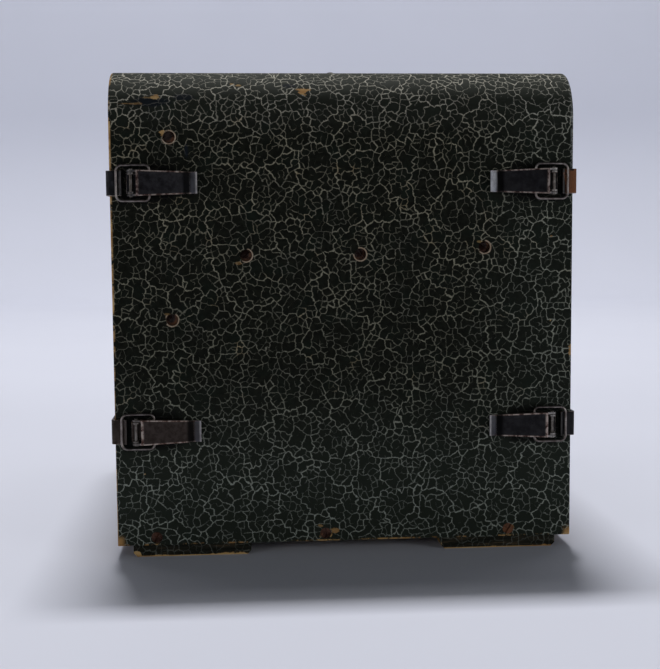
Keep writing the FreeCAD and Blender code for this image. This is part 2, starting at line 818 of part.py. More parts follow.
def build_latches():
    """Eight draw latches: bases and pins in groups, levers and loops one by one."""
    pieces = [group("latch_bases", [latch_base(latch) for latch in LATCHES])]
    pieces.append(group("latch_pins", [latch_pin(latch) for latch in LATCHES]))
    pieces += [lever(latch) for latch in LATCHES]
    pieces += [loop(latch) for latch in LATCHES]
    return pieces


def handle_fixings():
    """The screws that hold the handle's brackets down, and their holes in the case's top."""
    screws = []
    holes = []
    for side in (-1, 1):
        for end in (-1, 1):
            tag = f"handle_screw_{side}_{end}"
            x_text = f"{end} * handle_screw_pitch / 2"
            y_text = f"{side} * {LUG_MIDDLE}"
            seat = f"{CASE_TOP} + bracket_thick"
            tip = f"{seat} - handle_screw_length"
            head = rod(tag + "_head", (x_text, y_text, seat), "+Z", "head_height", "head_width")
            shank = rod(tag + "_shank", (x_text, y_text, tip), "+Z", "handle_screw_length", "shank_width")
            screws.append(merged(tag, (head, shank)))
            bore_seat = (x_text, y_text, f"{tip} - screw_play")
            bore_length = "handle_screw_length + 2 * screw_play"
            holes.append(rod(tag + "_hole", bore_seat, "+Z", bore_length, "shank_width + 2 * screw_play"))
    return screws, merged("handle_holes", holes)


def build_handle():
    """A folding carrying handle: two brackets, a bent rod that swings in them and a sleeve to hold."""
    brackets = []
    for side in (-1, 1):
        middle = f"{side} * {LUG_MIDDLE}"
        foot_x = ("-bracket_length / 2", "bracket_length / 2")
        foot_y = (f"{middle} - bracket_width / 2", f"{middle} + bracket_width / 2")
        foot = block(f"bracket_foot_{side}", foot_x, foot_y, (CASE_TOP, f"{CASE_TOP} + bracket_thick"))
        lug_x = ("-lug_length / 2", "lug_length / 2")
        lug_y = (f"{middle} - lug_width / 2", f"{middle} + lug_width / 2")
        post = block(f"bracket_post_{side}", lug_x, lug_y, (CASE_TOP, HANDLE_AXIS))
        lug_start = ("0", f"{middle} - lug_width / 2", HANDLE_AXIS)
        crown = rod(f"bracket_crown_{side}", lug_start, "+Y", "lug_width", "crown_width")
        brackets.append(merged(f"bracket_{side}", (foot, post, crown)))
    tools = [doc.getObject("handle_holes")]
    bore_start = ("0", "-handle_span", HANDLE_AXIS)
    tools.append(rod("handle_bore", bore_start, "+Y", "2 * handle_span", "rod_width + 2 * running_play"))
    drilling = merged("bracket_tools", tools)
    handle_brackets = without("handle_brackets", group("brackets", brackets), drilling)

    tail = "lug_inset + lug_width / 2"
    shape = ("rod_width", "handle_span", "handle_reach", "handle_corner", "handle_bend", tail)
    bail = put(bent_rod("handle_bail", *shape), ("0", "0", HANDLE_AXIS), HEADINGS["+Y"])

    bore = "rod_width / 2 + screw_play"
    sleeve = [
        (bore, "-grip_length / 2"),
        ("grip_width / 2", "-grip_length / 2", "grip_round"),
        ("grip_width / 2", "grip_length / 2", "grip_round"),
        (bore, "grip_length / 2"),
    ]
    grip = put(turned("handle_grip", sleeve), ("-handle_reach", "0", HANDLE_AXIS), HEADINGS["+Y"])
    return [handle_brackets, bail, grip]


def on_panel(thing, across, level):
    """Place a piece whose own Z axis stands out of the panel's face."""
    return put(thing, (PANEL_FACE, across, level), HEADINGS["-X"])


def control_places():
    """Where the small controls sit either side of the meter, as (across, level)."""
    high = f"{METER_LEVEL} + control_spacing / 2"
    low = f"{METER_LEVEL} - control_spacing / 2"
    return {
        "toggle": (f"{CONTROL_PLACE} - control_spacing / 2", high),
        "lamp": (f"{CONTROL_PLACE} + control_spacing / 2", high),
        "inlet": (CONTROL_PLACE, low),
        "button": (f"-{CONTROL_PLACE}", METER_LEVEL),
    }


def build_panel():
    """The panel that everything in front is fixed to, with a hole for each piece that passes through it."""
    places = control_places()
    rings = [("0", METER_LEVEL, "can_width + 2 * hole_play")]
    for index in range(len(SOCKET_PINS)):
        rings.append((f"{index - 2} * {SOCKET_PITCH}", SOCKET_LEVEL, "socket_body + 2 * hole_play"))
    for index in range(len(KNOB_NAMES)):
        rings.append((f"{index - 1} * {KNOB_PITCH}", KNOB_LEVEL, "bush_width + 2 * hole_play"))
    rings.append((*places["toggle"], "toggle_bush + 2 * hole_play"))
    rings.append((*places["lamp"], "lamp_body + 2 * hole_play"))
    rings.append((*places["inlet"], "inlet_body + 2 * hole_play"))
    rings.append((*places["button"], "button_body + 2 * hole_play"))
    board = case_outline("wall + panel_play", f"{FLOOR_TOP} + panel_play")
    return [slab("instrument_panel", "YZ_Plane", board, (PANEL_FACE, PANEL_BACK), rings)]


def build_meter():
    """A round moving-coil meter: can, dial, needle on its staff, glass and bezel."""
    bore = "can_width / 2 - can_wall"
    ledge = f"{bore} - dial_lap"
    dial_floor = "-(dial_sink + dial_thick)"
    can = turned("meter_case", [
        ("0", "-can_depth"),
        ("can_width / 2", "-can_depth"),
        ("can_width / 2", "0"),
        ("meter_width / 2", "0"),
        ("meter_width / 2", "flange_thick"),
        (bore, "flange_thick"),
        (bore, dial_floor),
        (ledge, dial_floor),
        (ledge, "can_wall - can_depth"),
        ("0", "can_wall - can_depth"),
    ])
    top = "flange_thick + bezel_height"
    glass_top = f"{top} - bezel_lip"
    glass_edge = "window_width / 2 + glass_lap"
    bezel = turned("meter_bezel", [
        (f"{glass_edge} + screw_play", "flange_thick"),
        ("meter_width / 2", "flange_thick"),
        ("meter_width / 2", top, "bezel_round"),
        ("window_width / 2", top),
        ("window_width / 2", glass_top),
        (f"{glass_edge} + screw_play", glass_top),
    ])
    glass_low = f"{glass_top} - glass_thick"
    glass = turned("meter_glass", [
        ("0", glass_low),
        (glass_edge, glass_low),
        (glass_edge, glass_top),
        ("0", glass_top),
    ])

    dial_edge = "can_width - 2 * can_wall - 2 * screw_play"
    dial_rings = [("0", "0", dial_edge), ("-needle_drop", "0", "staff_width + 4 * screw_play")]
    dial = slab("meter_dial", "XY_Plane", (), (dial_floor, "-dial_sink"), dial_rings)

    lift = "(needle_lift - dial_sink)"
    pointer = [
        ("0", "-needle_width"),
        ("needle_length", "-needle_tip / 2"),
        ("needle_length", "needle_tip / 2"),
        ("0", "needle_width"),
    ]
    blade = slab("needle_blade", "XY_Plane", pointer, (lift, f"{lift} + needle_thick"))
    hub = rod("needle_hub", ("0", "0", lift), "+Z", "2 * needle_thick", "hub_width")
    staff = rod("needle_staff", ("0", "0", f"{lift} - staff_length"), "+Z", "staff_length", "staff_width")
    needle = merged("meter_needle", (blade, hub, staff))
    rest = HEADINGS["-X"].multiply(Rotation(Vector(0, 0, 1), 45))
    put(needle, (PANEL_FACE, "0", f"{METER_LEVEL} - needle_drop"), rest)

    for piece in (can, bezel, glass, dial):
        on_panel(piece, "0", METER_LEVEL)
    return [can, bezel, glass, dial, needle]


def build_sockets():
    """Five tube sockets for bases of four to eight pins, and the sprung sleeves in their holes."""
    sockets = []
    contacts = []
    for index, count in enumerate(SOCKET_PINS):
        angles = [math.tau * (step + 0.5) / count for step in range(count)]
        ways = [(math.cos(angle), math.sin(angle)) for angle in angles]
        spots = [(f"pin_circle / 2 * {x:.6f}", f"pin_circle / 2 * {y:.6f}") for x, y in ways]
        holes = [(x, y, "pin_hole") for x, y in spots]
        if count == SOCKET_PINS[-1]:
            holes.append(("0", "0", "key_hole"))
        body = doc.addObject("PartDesign::Body", f"socket_{count}")
        back = "-(panel_thick + socket_depth)"
        steps = (("body", "socket_body", back, "0"), ("rim", "socket_width", "0", "socket_flange"))
        for tag, width, low, high in steps:
            sketch = sketch_on(body, "XY_Plane", low)
            for circle in [("0", "0", width)] + holes:
                ring(sketch, *circle)
            pad = body.newObject("PartDesign::Pad", f"socket_{count}_{tag}")
            pad.Profile = sketch
            bind(pad, {"Length": f"({high}) - ({low})"})
        across = f"{index - 2} * {SOCKET_PITCH}"
        sockets.append(on_panel(body, across, SOCKET_LEVEL))

        sleeve_outline = doc.addObject("Sketcher::SketchObject", f"sleeves_{count}_sketch")
        for x, y in spots:
            ring(sleeve_outline, x, y, "pin_hole - screw_play")
            ring(sleeve_outline, x, y, "pin_hole - screw_play - 2 * contact_wall")
        sleeves = doc.addObject("Part::Extrusion", f"sleeves_{count}")
        sleeves.Base = sleeve_outline
        sleeves.DirMode = "Normal"
        sleeves.Solid = True
        bind(sleeves, {"LengthFwd": "socket_depth + panel_thick + contact_tail"})
        tail_end = f"{PANEL_FACE} + panel_thick + socket_depth + contact_tail"
        put(sleeves, (tail_end, across, SOCKET_LEVEL), HEADINGS["-X"])
        contacts.append(sleeves)
    return [group("tube_sockets", sockets), group("socket_contacts", contacts)]


def knob(name):
    """A skirted knob with a fluted grip and a blind bore for its shaft."""
    bore = "shaft_width / 2 + screw_play / 2"
    body = turned(name, [
        (bore, "knob_recess_height"),
        ("knob_recess / 2", "knob_recess_height"),
        ("knob_recess / 2", "knob_lift"),
        ("knob_width / 2", "knob_lift"),
        ("knob_width / 2", "skirt_height"),
        ("grip_top / 2", "skirt_height + knob_round"),
        ("grip_top / 2", "knob_height", "knob_round"),
        ("0", "knob_height"),
        ("0", "shaft_end"),
        (bore, "shaft_end"),
    ])
    doc.recompute()
    sketch = sketch_on(body, "XY_Plane", "knob_height")
    ring(sketch, "grip_top / 2 + flute_width / 4", "0", "flute_width")
    flute = body.newObject("PartDesign::Pocket", name + "_flute")
    flute.Profile = sketch
    bind(flute, {"Length": "knob_height - skirt_height - knob_round"})
    pattern = body.newObject("PartDesign::PolarPattern", name + "_flutes")
    pattern.Originals = [flute]
    pattern.Axis = (origin_part(body, "Z_Axis"), [""])
    pattern.Angle = 360
    pattern.Occurrences = FLUTES
    body.Tip = pattern
    return body


def build_selectors():
    """Three rotary switches behind the panel, each with its shaft and knob."""
    switches = []
    pieces = []
    bore = "shaft_width / 2 + running_play"
    floor = "-(panel_thick + shaft_sink)"
    for index, (knob_name, shaft_name) in enumerate(zip(KNOB_NAMES, SHAFT_NAMES)):
        across = f"{index - 1} * {KNOB_PITCH}"
        switch = turned(f"switch_{index}", [
            ("0", "-(panel_thick + switch_depth)"),
            ("switch_width / 2", "-(panel_thick + switch_depth)"),
            ("switch_width / 2", "-panel_thick"),
            ("bush_width / 2", "-panel_thick"),
            ("bush_width / 2", "0"),
            ("nut_width / 2", "0"),
            ("nut_width / 2", "nut_height"),
            ("bush_width / 2", "nut_height"),
            ("bush_width / 2", "bush_height"),
            (bore, "bush_height"),
            (bore, floor),
            ("0", floor),
        ])
        switches.append(on_panel(switch, across, KNOB_LEVEL))
        pieces.append(on_panel(knob(knob_name), across, KNOB_LEVEL))
        start = (f"{PANEL_FACE} + panel_thick + shaft_sink - hole_play", across, KNOB_LEVEL)
        length = "panel_thick + shaft_sink - hole_play + shaft_end"
        pieces.append(rod(shaft_name, start, "-X", length, "shaft_width"))
    return [group("switch_bodies", switches)] + pieces


def build_controls():
    """The test button, mains switch, pilot lamp and mains inlet."""
    places = control_places()
    pieces = test_button(*places["button"]) + mains_switch(*places["toggle"])
    return pieces + pilot_lamp(*places["lamp"]) + mains_inlet(*places["inlet"])


def test_button(across, level):
    """A push button on a stem, held up by a coil spring in the well of its bush."""
    well = "button_width / 2 + well_play"
    bore = "stem_width / 2 + running_play"
    bush = turned("button_bush", [
        (bore, "-(panel_thick + button_body_depth)"),
        ("button_body / 2", "-(panel_thick + button_body_depth)"),
        ("button_body / 2", "0"),
        ("button_flange / 2", "0"),
        ("button_flange / 2", "button_flange_thick", "button_flange_thick / 2"),
        (well, "button_flange_thick"),
        (well, "-well_depth"),
        (bore, "-well_depth"),
    ])
    top = "button_sit + button_height"
    cap = turned("test_button", [
        ("0", "button_sit - stem_length"),
        ("stem_width / 2", "button_sit - stem_length"),
        ("stem_width / 2", "button_sit"),
        ("button_width / 2", "button_sit"),
        ("button_width / 2", top, "button_height / 4"),
        ("0", top),
    ])
    spring = coil_spring()
    return [on_panel(piece, across, level) for piece in (bush, cap, spring)]


def coil_spring():
    """A helix between the floor of the well and the button, swept along arcs of a quarter turn."""
    mean = (number("button_width / 2 + well_play") + number("stem_width / 2")) / 2
    wire = number("spring_wire / 2")
    low = number("-well_depth + spring_gap") + wire
    high = number("button_sit - spring_gap") - wire
    steps = 8
    total = steps * SPRING_TURNS

    def spot(step):
        angle = math.tau * step / steps
        return Vector(mean * math.cos(angle), mean * math.sin(angle), low + (high - low) * step / total)

    arcs = [Part.Arc(spot(step), spot(step + 1), spot(step + 2)).toShape() for step in range(0, total, 2)]
    tangent = arcs[0].tangentAt(arcs[0].FirstParameter)
    section = Part.Wire([Part.Circle(spot(0), tangent, wire).toShape()])
    spring = doc.addObject("Part::Feature", "button_spring")
    spring.Shape = Part.Wire(arcs).makePipeShell([section], True, False)
    points = [spot(step / 4) for step in range(4 * total + 1)]
    gaps = [a.distanceToPoint(b) for i, a in enumerate(points) for b in points[i + 2 * steps:]]
    print("spring: least gap between turns", round(min(gaps) - 2 * wire, 3), "mm")
    return spring


def mains_switch(across, level):
    """A toggle switch: its box and threaded bush, and a lever that rocks on a ball."""
    box_x = ("-toggle_long / 2", "toggle_long / 2")
    box_y = ("-toggle_wide / 2", "toggle_wide / 2")
    box = block("toggle_box", box_x, box_y, ("-(panel_thick + toggle_deep)", "-panel_thick"))
    bore = "toggle_ball / 2 + running_play"
    floor = "toggle_pivot - toggle_ball / 2 - running_play"
    neck = turned("toggle_neck", [
        ("0", "-panel_thick"),
        ("toggle_bush / 2", "-panel_thick"),
        ("toggle_bush / 2", "0"),
        ("toggle_bush / 2 + nut_height", "0"),
        ("toggle_bush / 2 + nut_height", "nut_height"),
        ("toggle_bush / 2", "nut_height"),
        ("toggle_bush / 2", "toggle_bush_height"),
        (bore, "toggle_bush_height"),
        (bore, floor),
        ("0", floor),
    ])
    body = on_panel(merged("toggle_body", (box, neck)), across, level)

    ball = doc.addObject("Part::Sphere", "toggle_ball_piece")
    bind(ball, {"Radius": "toggle_ball / 2"})
    stalk = doc.addObject("Part::Cone", "toggle_stalk")
    bind(stalk, {"Radius1": "toggle_root / 2", "Radius2": "toggle_tip / 2", "Height": "toggle_length"})
    knob_end = doc.addObject("Part::Sphere", "toggle_tip_piece")
    bind(knob_end, {"Radius": "toggle_tip / 2", "Placement.Base.z": "toggle_length"})
    stick = merged("toggle_lever", (ball, stalk, knob_end))
    lean = HEADINGS["-X"].multiply(Rotation(Vector(0, 1, 0), -number("toggle_tilt")))
    put(stick, (f"{PANEL_FACE} - toggle_pivot", across, level), lean)
    return [body, stick]


def pilot_lamp(across, level):
    """A lamp holder through the panel with a domed glass jewel in its mouth."""
    seat = "lamp_flange_thick - jewel_seat"
    holder = turned("lamp_holder", [
        ("0", "-(panel_thick + lamp_depth)"),
        ("lamp_body / 2", "-(panel_thick + lamp_depth)"),
        ("lamp_body / 2", "0"),
        ("lamp_flange / 2", "0"),
        ("lamp_flange / 2", "lamp_flange_thick", "lamp_flange_thick / 2"),
        ("jewel_width / 2 + screw_play", "lamp_flange_thick"),
        ("jewel_width / 2 + screw_play", seat),
        ("0", seat),
    ])
    dome = turned("lamp_jewel", [
        ("0", seat),
        ("jewel_width / 2", seat),
        ("jewel_width / 2", f"{seat} + jewel_height", "jewel_width / 3"),
        ("0", f"{seat} + jewel_height"),
    ])
    return [on_panel(piece, across, level) for piece in (holder, dome)]


def mains_inlet(across, level):
    """A round cup for the mains lead's connector, with two plain pins standing on its floor."""
    floor = "inlet_back - panel_thick - inlet_depth"
    bore = "inlet_body / 2 - inlet_wall"
    cup = turned("mains_inlet", [
        ("0", "-(panel_thick + inlet_depth)"),
        ("inlet_body / 2", "-(panel_thick + inlet_depth)"),
        ("inlet_body / 2", "0"),
        ("inlet_flange / 2", "0"),
        ("inlet_flange / 2", "inlet_flange_thick", "inlet_flange_thick / 2"),
        (bore, "inlet_flange_thick"),
        (bore, floor),
        ("0", floor),
    ])
    pins = []
    for side in (-1, 1):
        start = (f"{PANEL_FACE} - ({floor})", f"{across} + {side} * inlet_pin_pitch / 2", level)
        pins.append(rod(f"inlet_pin_{side}", start, "-X", "inlet_pin_length", "inlet_pin_width"))
    return [on_panel(cup, across, level), group("inlet_pins", pins)]


def build_transformer():
    """A transformer: a stack with two windows, a coil round the middle limb and a clamp strap."""
    half = "core_length / 2"
    window_high = "core_height - yoke"
    windows = []
    for side in (-1, 1):
        near = f"{side} * limb / 2"
        far = f"{side} * (core_length / 2 - yoke)"
        windows.append([(near, "yoke"), (far, "yoke"), (far, window_high), (near, window_high)])
    frame = [(f"-{half}", "0"), (half, "0"), (half, "core_height"), (f"-{half}", "core_height")]
    stack = ("-core_stack / 2", "core_stack / 2")
    core = slab("transformer_core", "XZ_Plane", frame, stack, (), windows)

    reach = "(limb / 2 + coil_play + coil_build)"
    depth = "(core_stack / 2 + coil_play + coil_build)"
    hole_x = "(limb / 2 + coil_play)"
    hole_y = "(core_stack / 2 + coil_play)"
    outer = [
        (f"-{reach}", f"-{depth}", "coil_round"),
        (reach, f"-{depth}", "coil_round"),
        (reach, depth, "coil_round"),
        (f"-{reach}", depth, "coil_round"),
    ]
    inner = [(f"-{hole_x}", f"-{hole_y}"), (hole_x, f"-{hole_y}"), (hole_x, hole_y), (f"-{hole_x}", hole_y)]
    coil = slab("transformer_coil", "XY_Plane", outer, ("yoke", f"{window_high} - coil_play"), (), [inner])

    outside = f"({half} + strap_metal)"
    foot = f"({half} + strap_metal + strap_foot)"
    strap = slab("transformer_frame", "XZ_Plane", [
        (f"-{foot}", "0"),
        (f"-{half}", "0"),
        (f"-{half}", "core_height"),
        (half, "core_height"),
        (half, "0"),
        (foot, "0"),
        (foot, "strap_metal"),
        (outside, "strap_metal"),
        (outside, "core_height + strap_metal"),
        (f"-{outside}", "core_height + strap_metal"),
        (f"-{outside}", "strap_metal"),
        (f"-{foot}", "strap_metal"),
    ], ("-strap_broad / 2", "strap_broad / 2"))
    for piece in (core, coil, strap):
        put(piece, (f"{SHELF_END} - core_inset", "0", SHELF_TOP))
    return [core, coil, strap]


PARTS = build_case() + build_covers() + build_latches() + build_handle() + build_panel()
PARTS += build_meter() + build_sockets() + build_selectors() + build_controls() + build_transformer()
doc.recompute()

failed = [item.Label for item in doc.Objects if {"Invalid", "Error"} & set(item.State)]
hollow = [part.Label for part in PARTS if part.Shape.isNull() or not part.Shape.isValid()]
if failed or hollow:
    raise RuntimeError(f"failed objects: {failed}, bad shapes: {hollow}")

os.makedirs("parts", exist_ok=True)
for part in PARTS:
    part.Shape.exportStep(f"parts/{part.Label}.step")
print(len(PARTS), "parts written")
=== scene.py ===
"""Looks of a portable tube tester in a latched, crackle-lacquered wooden case."""
import functools
import json
import math

import bmesh
import bpy
import numpy as np
from mathutils import Matrix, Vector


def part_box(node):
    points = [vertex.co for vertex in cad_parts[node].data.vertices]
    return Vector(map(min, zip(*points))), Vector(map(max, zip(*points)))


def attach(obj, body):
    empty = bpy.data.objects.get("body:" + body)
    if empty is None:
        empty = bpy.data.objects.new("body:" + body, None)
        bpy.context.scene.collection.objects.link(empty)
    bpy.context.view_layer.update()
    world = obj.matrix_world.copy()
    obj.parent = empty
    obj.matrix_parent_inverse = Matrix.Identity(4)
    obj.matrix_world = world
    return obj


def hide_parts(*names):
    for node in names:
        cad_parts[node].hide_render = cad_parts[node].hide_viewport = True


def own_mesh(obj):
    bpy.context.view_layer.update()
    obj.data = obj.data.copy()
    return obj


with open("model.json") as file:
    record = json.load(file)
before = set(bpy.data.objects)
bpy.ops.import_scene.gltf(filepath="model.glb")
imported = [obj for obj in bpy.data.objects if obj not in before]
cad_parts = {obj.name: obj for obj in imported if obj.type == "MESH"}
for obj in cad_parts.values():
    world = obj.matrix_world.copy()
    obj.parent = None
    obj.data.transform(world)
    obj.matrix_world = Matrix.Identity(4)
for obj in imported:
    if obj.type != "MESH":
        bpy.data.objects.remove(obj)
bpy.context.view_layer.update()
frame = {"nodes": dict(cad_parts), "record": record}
NODES = frame["nodes"]
BODIES = frame["record"]["behaviour"]["bodies"]
BODY_OF = {node: body for body, nodes in BODIES.items() for node in nodes}
SLOT_OF = {part["node"]: part["material_slot"] for part in frame["record"]["subparts"]}

# Places on the tester, in metres: x runs from the front cover to the rear one, y across the case and z up

HALF_DEPTH = 0.150
HALF_WIDTH = 0.180
ARCH_RADIUS = 0.032
ARCH_SIDE = HALF_WIDTH - ARCH_RADIUS
ARCH_LEVEL = 0.284
CASE_FOOT = 0.008
CASE_TOP = 0.316
COVER_SIDE, COVER_FOOT, COVER_HEAD = 0.1694, 0.0186, 0.3054
SKID_PLACE, SKID_HALF = 0.1015, 0.0385
LATCH_LEVELS = (0.243, 0.0835)
DEEP_SCREWS = ((-0.112, 0.272), (-0.112, 0.1555), (-0.064, 0.1965), (0.010, 0.1965), (0.0915, 0.2005))
EDGE_SCREWS = ((-0.1245, 0.013), (-0.014, 0.013), (0.108, 0.013))
SINK = 0.0026
STRAP_SCREW_TOP = 0.1535
STRAP_SCREW_SIDES = (0.165, 0.1415)
RIVET_INSETS = (0.0215, 0.0335)
BASE_THICK = 0.0012
PANEL_FACE = -0.123
DIAL_FACE = -0.12205
KNOB_FACE = -0.139
SOCKET_LEVEL = 0.156
SOCKET_PLACES = np.array((-0.124, -0.062, 0, 0.062, 0.124))
KNOB_LEVEL = 0.082
KNOB_PLACES = {"line": -0.100, "filament": 0, "shunt": 0.100}
NEEDLE_LEVEL = 0.234
METER_LEVEL = 0.250
TOGGLE_PLACE = 0.092
TOGGLE_LEVEL = 0.270

# Mask and spots for distances along the walls, where y doesn't count. Shades lie up and left of the holes

ALONG_WALL = (1, 0, 1)
HOLES = tuple((x, 0, z) for x, z in DEEP_SCREWS)
HOLE_SHADES = tuple((x - 0.001, 0, z + 0.001) for x, z in DEEP_SCREWS)
EDGE_HOLES = tuple((x, 0, z) for x, z in EDGE_SCREWS)

# Thicknesses and angles of the small pieces

INK = 0.00004
INK_LIFT = 0.00006
PAINT = 0.00012
WELD = 2e-6
CREASE = 35
SEAM_TURN = 40
LEVER_ROUND = 0.00045
PLATE_ROUND = 0.00025


def operator(operation, turned=False):
    """A method for one sign: a math node on a flow and another value, or on the two turned round."""
    def made(self, other):
        return self.wiring.math(operation, *((other, self) if turned else (self, other)))
    return made


class Flow:
    """A value that runs through a shader. Sums, products and comparisons of flows are math nodes."""

    def __init__(self, wiring, socket):
        self.wiring = wiring
        self.socket = socket

    def __abs__(self):
        return self.wiring.math("ABSOLUTE", self)

    __add__, __radd__ = operator("ADD"), operator("ADD", True)
    __sub__, __rsub__ = operator("SUBTRACT"), operator("SUBTRACT", True)
    __mul__, __rmul__ = operator("MULTIPLY"), operator("MULTIPLY", True)
    __gt__, __lt__ = operator("GREATER_THAN"), operator("LESS_THAN")

    def rise(self, low, high):
        """0 below low, 1 above high and smooth between. Low may be above high, which turns it round."""
        inputs = {"Value": self, "From Min": low, "From Max": high}
        return self.wiring.add("ShaderNodeMapRange", inputs, interpolation_type="SMOOTHSTEP")

    def span(self, low, high):
        """A value from 0 to 1 stretched to run from low to high."""
        return self.wiring.add("ShaderNodeMapRange", {"Value": self, "To Min": low, "To Max": high})


class Wiring:
    """A short way to write shader nodes: each method adds one or a few nodes and gives what flows out."""

    def __init__(self, tree):
        self.tree = tree

    def plug(self, node, inputs):
        """Give a node its inputs: a flow is linked, and the rest are fixed values, colours without alpha."""
        for name, value in inputs.items():
            socket = node.inputs[name]
            if isinstance(value, Flow):
                self.tree.links.new(value.socket, socket)
            else:
                socket.default_value = (*value, 1) if socket.type == "RGBA" else value

    def add(self, kind, inputs=None, output=0, **settings):
        node = self.tree.nodes.new(kind)
        for name, value in settings.items():
            setattr(node, name, value)
        self.plug(node, inputs or {})
        return Flow(self, node.outputs[output])

    def use(self, tree, *values):
        """All the outputs of a node group for the values of its inputs, both in the group's order."""
        node = self.tree.nodes.new("ShaderNodeGroup")
        node.node_tree = tree
        self.plug(node, dict(enumerate(values)))
        return [Flow(self, socket) for socket in node.outputs]

    def facing(self):
        return self.add("ShaderNodeTexCoord", output="Normal")

    def math(self, operation, first, second=0):
        return self.add("ShaderNodeMath", {0: first, 1: second}, operation=operation)

    def vector(self, operation, first, second=(0, 0, 0)):
        return self.add("ShaderNodeVectorMath", {0: first, 1: second}, operation=operation)

    def measure(self, operation, first, second=(0, 0, 0)):
        """A number from two vectors, such as their distance."""
        return self.add("ShaderNodeVectorMath", {0: first, 1: second}, "Value", operation=operation)

    def scaled(self, vector, share):
        return self.add("ShaderNodeVectorMath", {0: vector, "Scale": share}, operation="SCALE")

    def split(self, vector):
        node = self.add("ShaderNodeSeparateXYZ", {0: vector}).socket.node
        return [Flow(self, socket) for socket in node.outputs]

    def join(self, x=0, y=0, z=0):
        return self.add("ShaderNodeCombineXYZ", {0: x, 1: y, 2: z})

    def stretched(self, vector, scale, turn=(0, 0, 0)):
        return self.add("ShaderNodeMapping", {"Vector": vector, "Scale": scale, "Rotation": turn})

    def noise(self, vector, scale, detail=2, rough=0.5, output="Fac"):
        inputs = {"Vector": vector, "Scale": scale, "Detail": detail, "Roughness": rough}
        return self.add("ShaderNodeTexNoise", inputs, output)

    def wave(self, vector, scale, more=None, direction="X"):
        inputs = {"Vector": vector, "Scale": scale, **(more or {})}
        return self.add("ShaderNodeTexWave", inputs, "Fac", bands_direction=direction)

    def cells(self, vector, scale, output="Color", feature="F1"):
        inputs = {"Vector": vector, "Scale": scale}
        return self.add("ShaderNodeTexVoronoi", inputs, output, voronoi_dimensions="2D", feature=feature)

    def mix(self, share, first, second):
        """A colour that goes from first to second."""
        return self.add("ShaderNodeMix", {0: share, 6: first, 7: second}, 2, data_type="RGBA")

    def layers(self, colour, *coats):
        """A colour under coats, each a share and a tone."""
        return functools.reduce(lambda under, coat: self.mix(coat[0], under, coat[1]), coats, colour)

    def blend(self, share, first, second):
        """A number that goes from first to second."""
        return self.add("ShaderNodeMix", {0: share, 2: first, 3: second}, 0, data_type="FLOAT")

    def most(self, *values):
        return functools.reduce(lambda one, other: self.math("MAXIMUM", one, other), values)

    def least(self, *values):
        return functools.reduce(lambda one, other: self.math("MINIMUM", one, other), values)

    def near(self, spots, point, plane):
        """The distance to the nearest of some spots, measured in a plane given by a mask of axes."""
        flat = self.vector("MULTIPLY", point, plane)
        return self.least(*(self.measure("DISTANCE", flat, spot) for spot in spots))

    def bump(self, height, strength, distance):
        inputs = {"Height": height, "Strength": strength, "Distance": distance}
        return self.add("ShaderNodeBump", inputs, "Normal")

    def coat(self, colour, rough, height, strength, distance, **more):
        """A shader's inputs from a colour, a roughness and the height, strength and distance of a bump."""
        normal = self.bump(height, strength, distance)
        return {"Base Color": colour, "Roughness": rough, "Normal": normal, **more}


VECTOR_SOCKETS = ("Vector", "Grain", "Normal")
COLOUR_SOCKETS = ("Color", "Dark", "Light", "Clean", "Dull", "Tone", "Deep")


def shader_group(inputs, outputs):
    """Turn a drawing function into a shader node group of its name.

    The function takes the wiring and what flows in, and gives what flows out, both in the order named here.
    """
    def make(draw):
        tree = bpy.data.node_groups.new(draw.__name__, "ShaderNodeTree")
        for way, names in (("INPUT", inputs), ("OUTPUT", outputs)):
            for name in names.split():
                kind = "Vector" if name in VECTOR_SOCKETS else "Color" if name in COLOUR_SOCKETS else "Float"
                tree.interface.new_socket(name, in_out=way, socket_type="NodeSocket" + kind)
        w = Wiring(tree)
        entry = tree.nodes.new("NodeGroupInput")
        leave = tree.nodes.new("NodeGroupOutput")
        flows = (Flow(w, entry.outputs[name]) for name in inputs.split())
        w.plug(leave, dict(zip(outputs.split(), draw(w, *flows))))
        return tree
    return make


FINISHES = {}


def finish_of(name, draw, **fixed):
    """Make a finish, a material on one Principled shader, and keep it in FINISHES by its name.

    draw gives what changes over the surface, from the wiring and the place on the object, and fixed gives
    what doesn't.
    """
    FINISHES[name] = material = bpy.data.materials.new(name)
    material.use_nodes = True
    w = Wiring(material.node_tree)
    shader = w.tree.nodes["Principled BSDF"]
    w.plug(shader, {socket.replace("_", " "): value for socket, value in fixed.items()})
    w.plug(shader, draw(w, w.add("ShaderNodeTexCoord", output="Object")))


def finish(**fixed):
    """Make the finish that a drawing function is named after."""
    def make(draw):
        finish_of(draw.__name__, draw, **fixed)
        return draw
    return make


# Effects that several finishes share


# Bends of the cracks: scale of the noise, reach
CRACK_BENDS = ((85, 0.0035), (420, 0.0016), (1000, 0.0010))
# Orders of cracks: scale of the net, shift by the net before, clearness
CRACK_ORDERS = ((0.9, 0, 1), (1.85, 3, 0.72), (3.7, 5, 0.56))
STONE_SCALE = 5.4
CELLS_APART = 0.0005


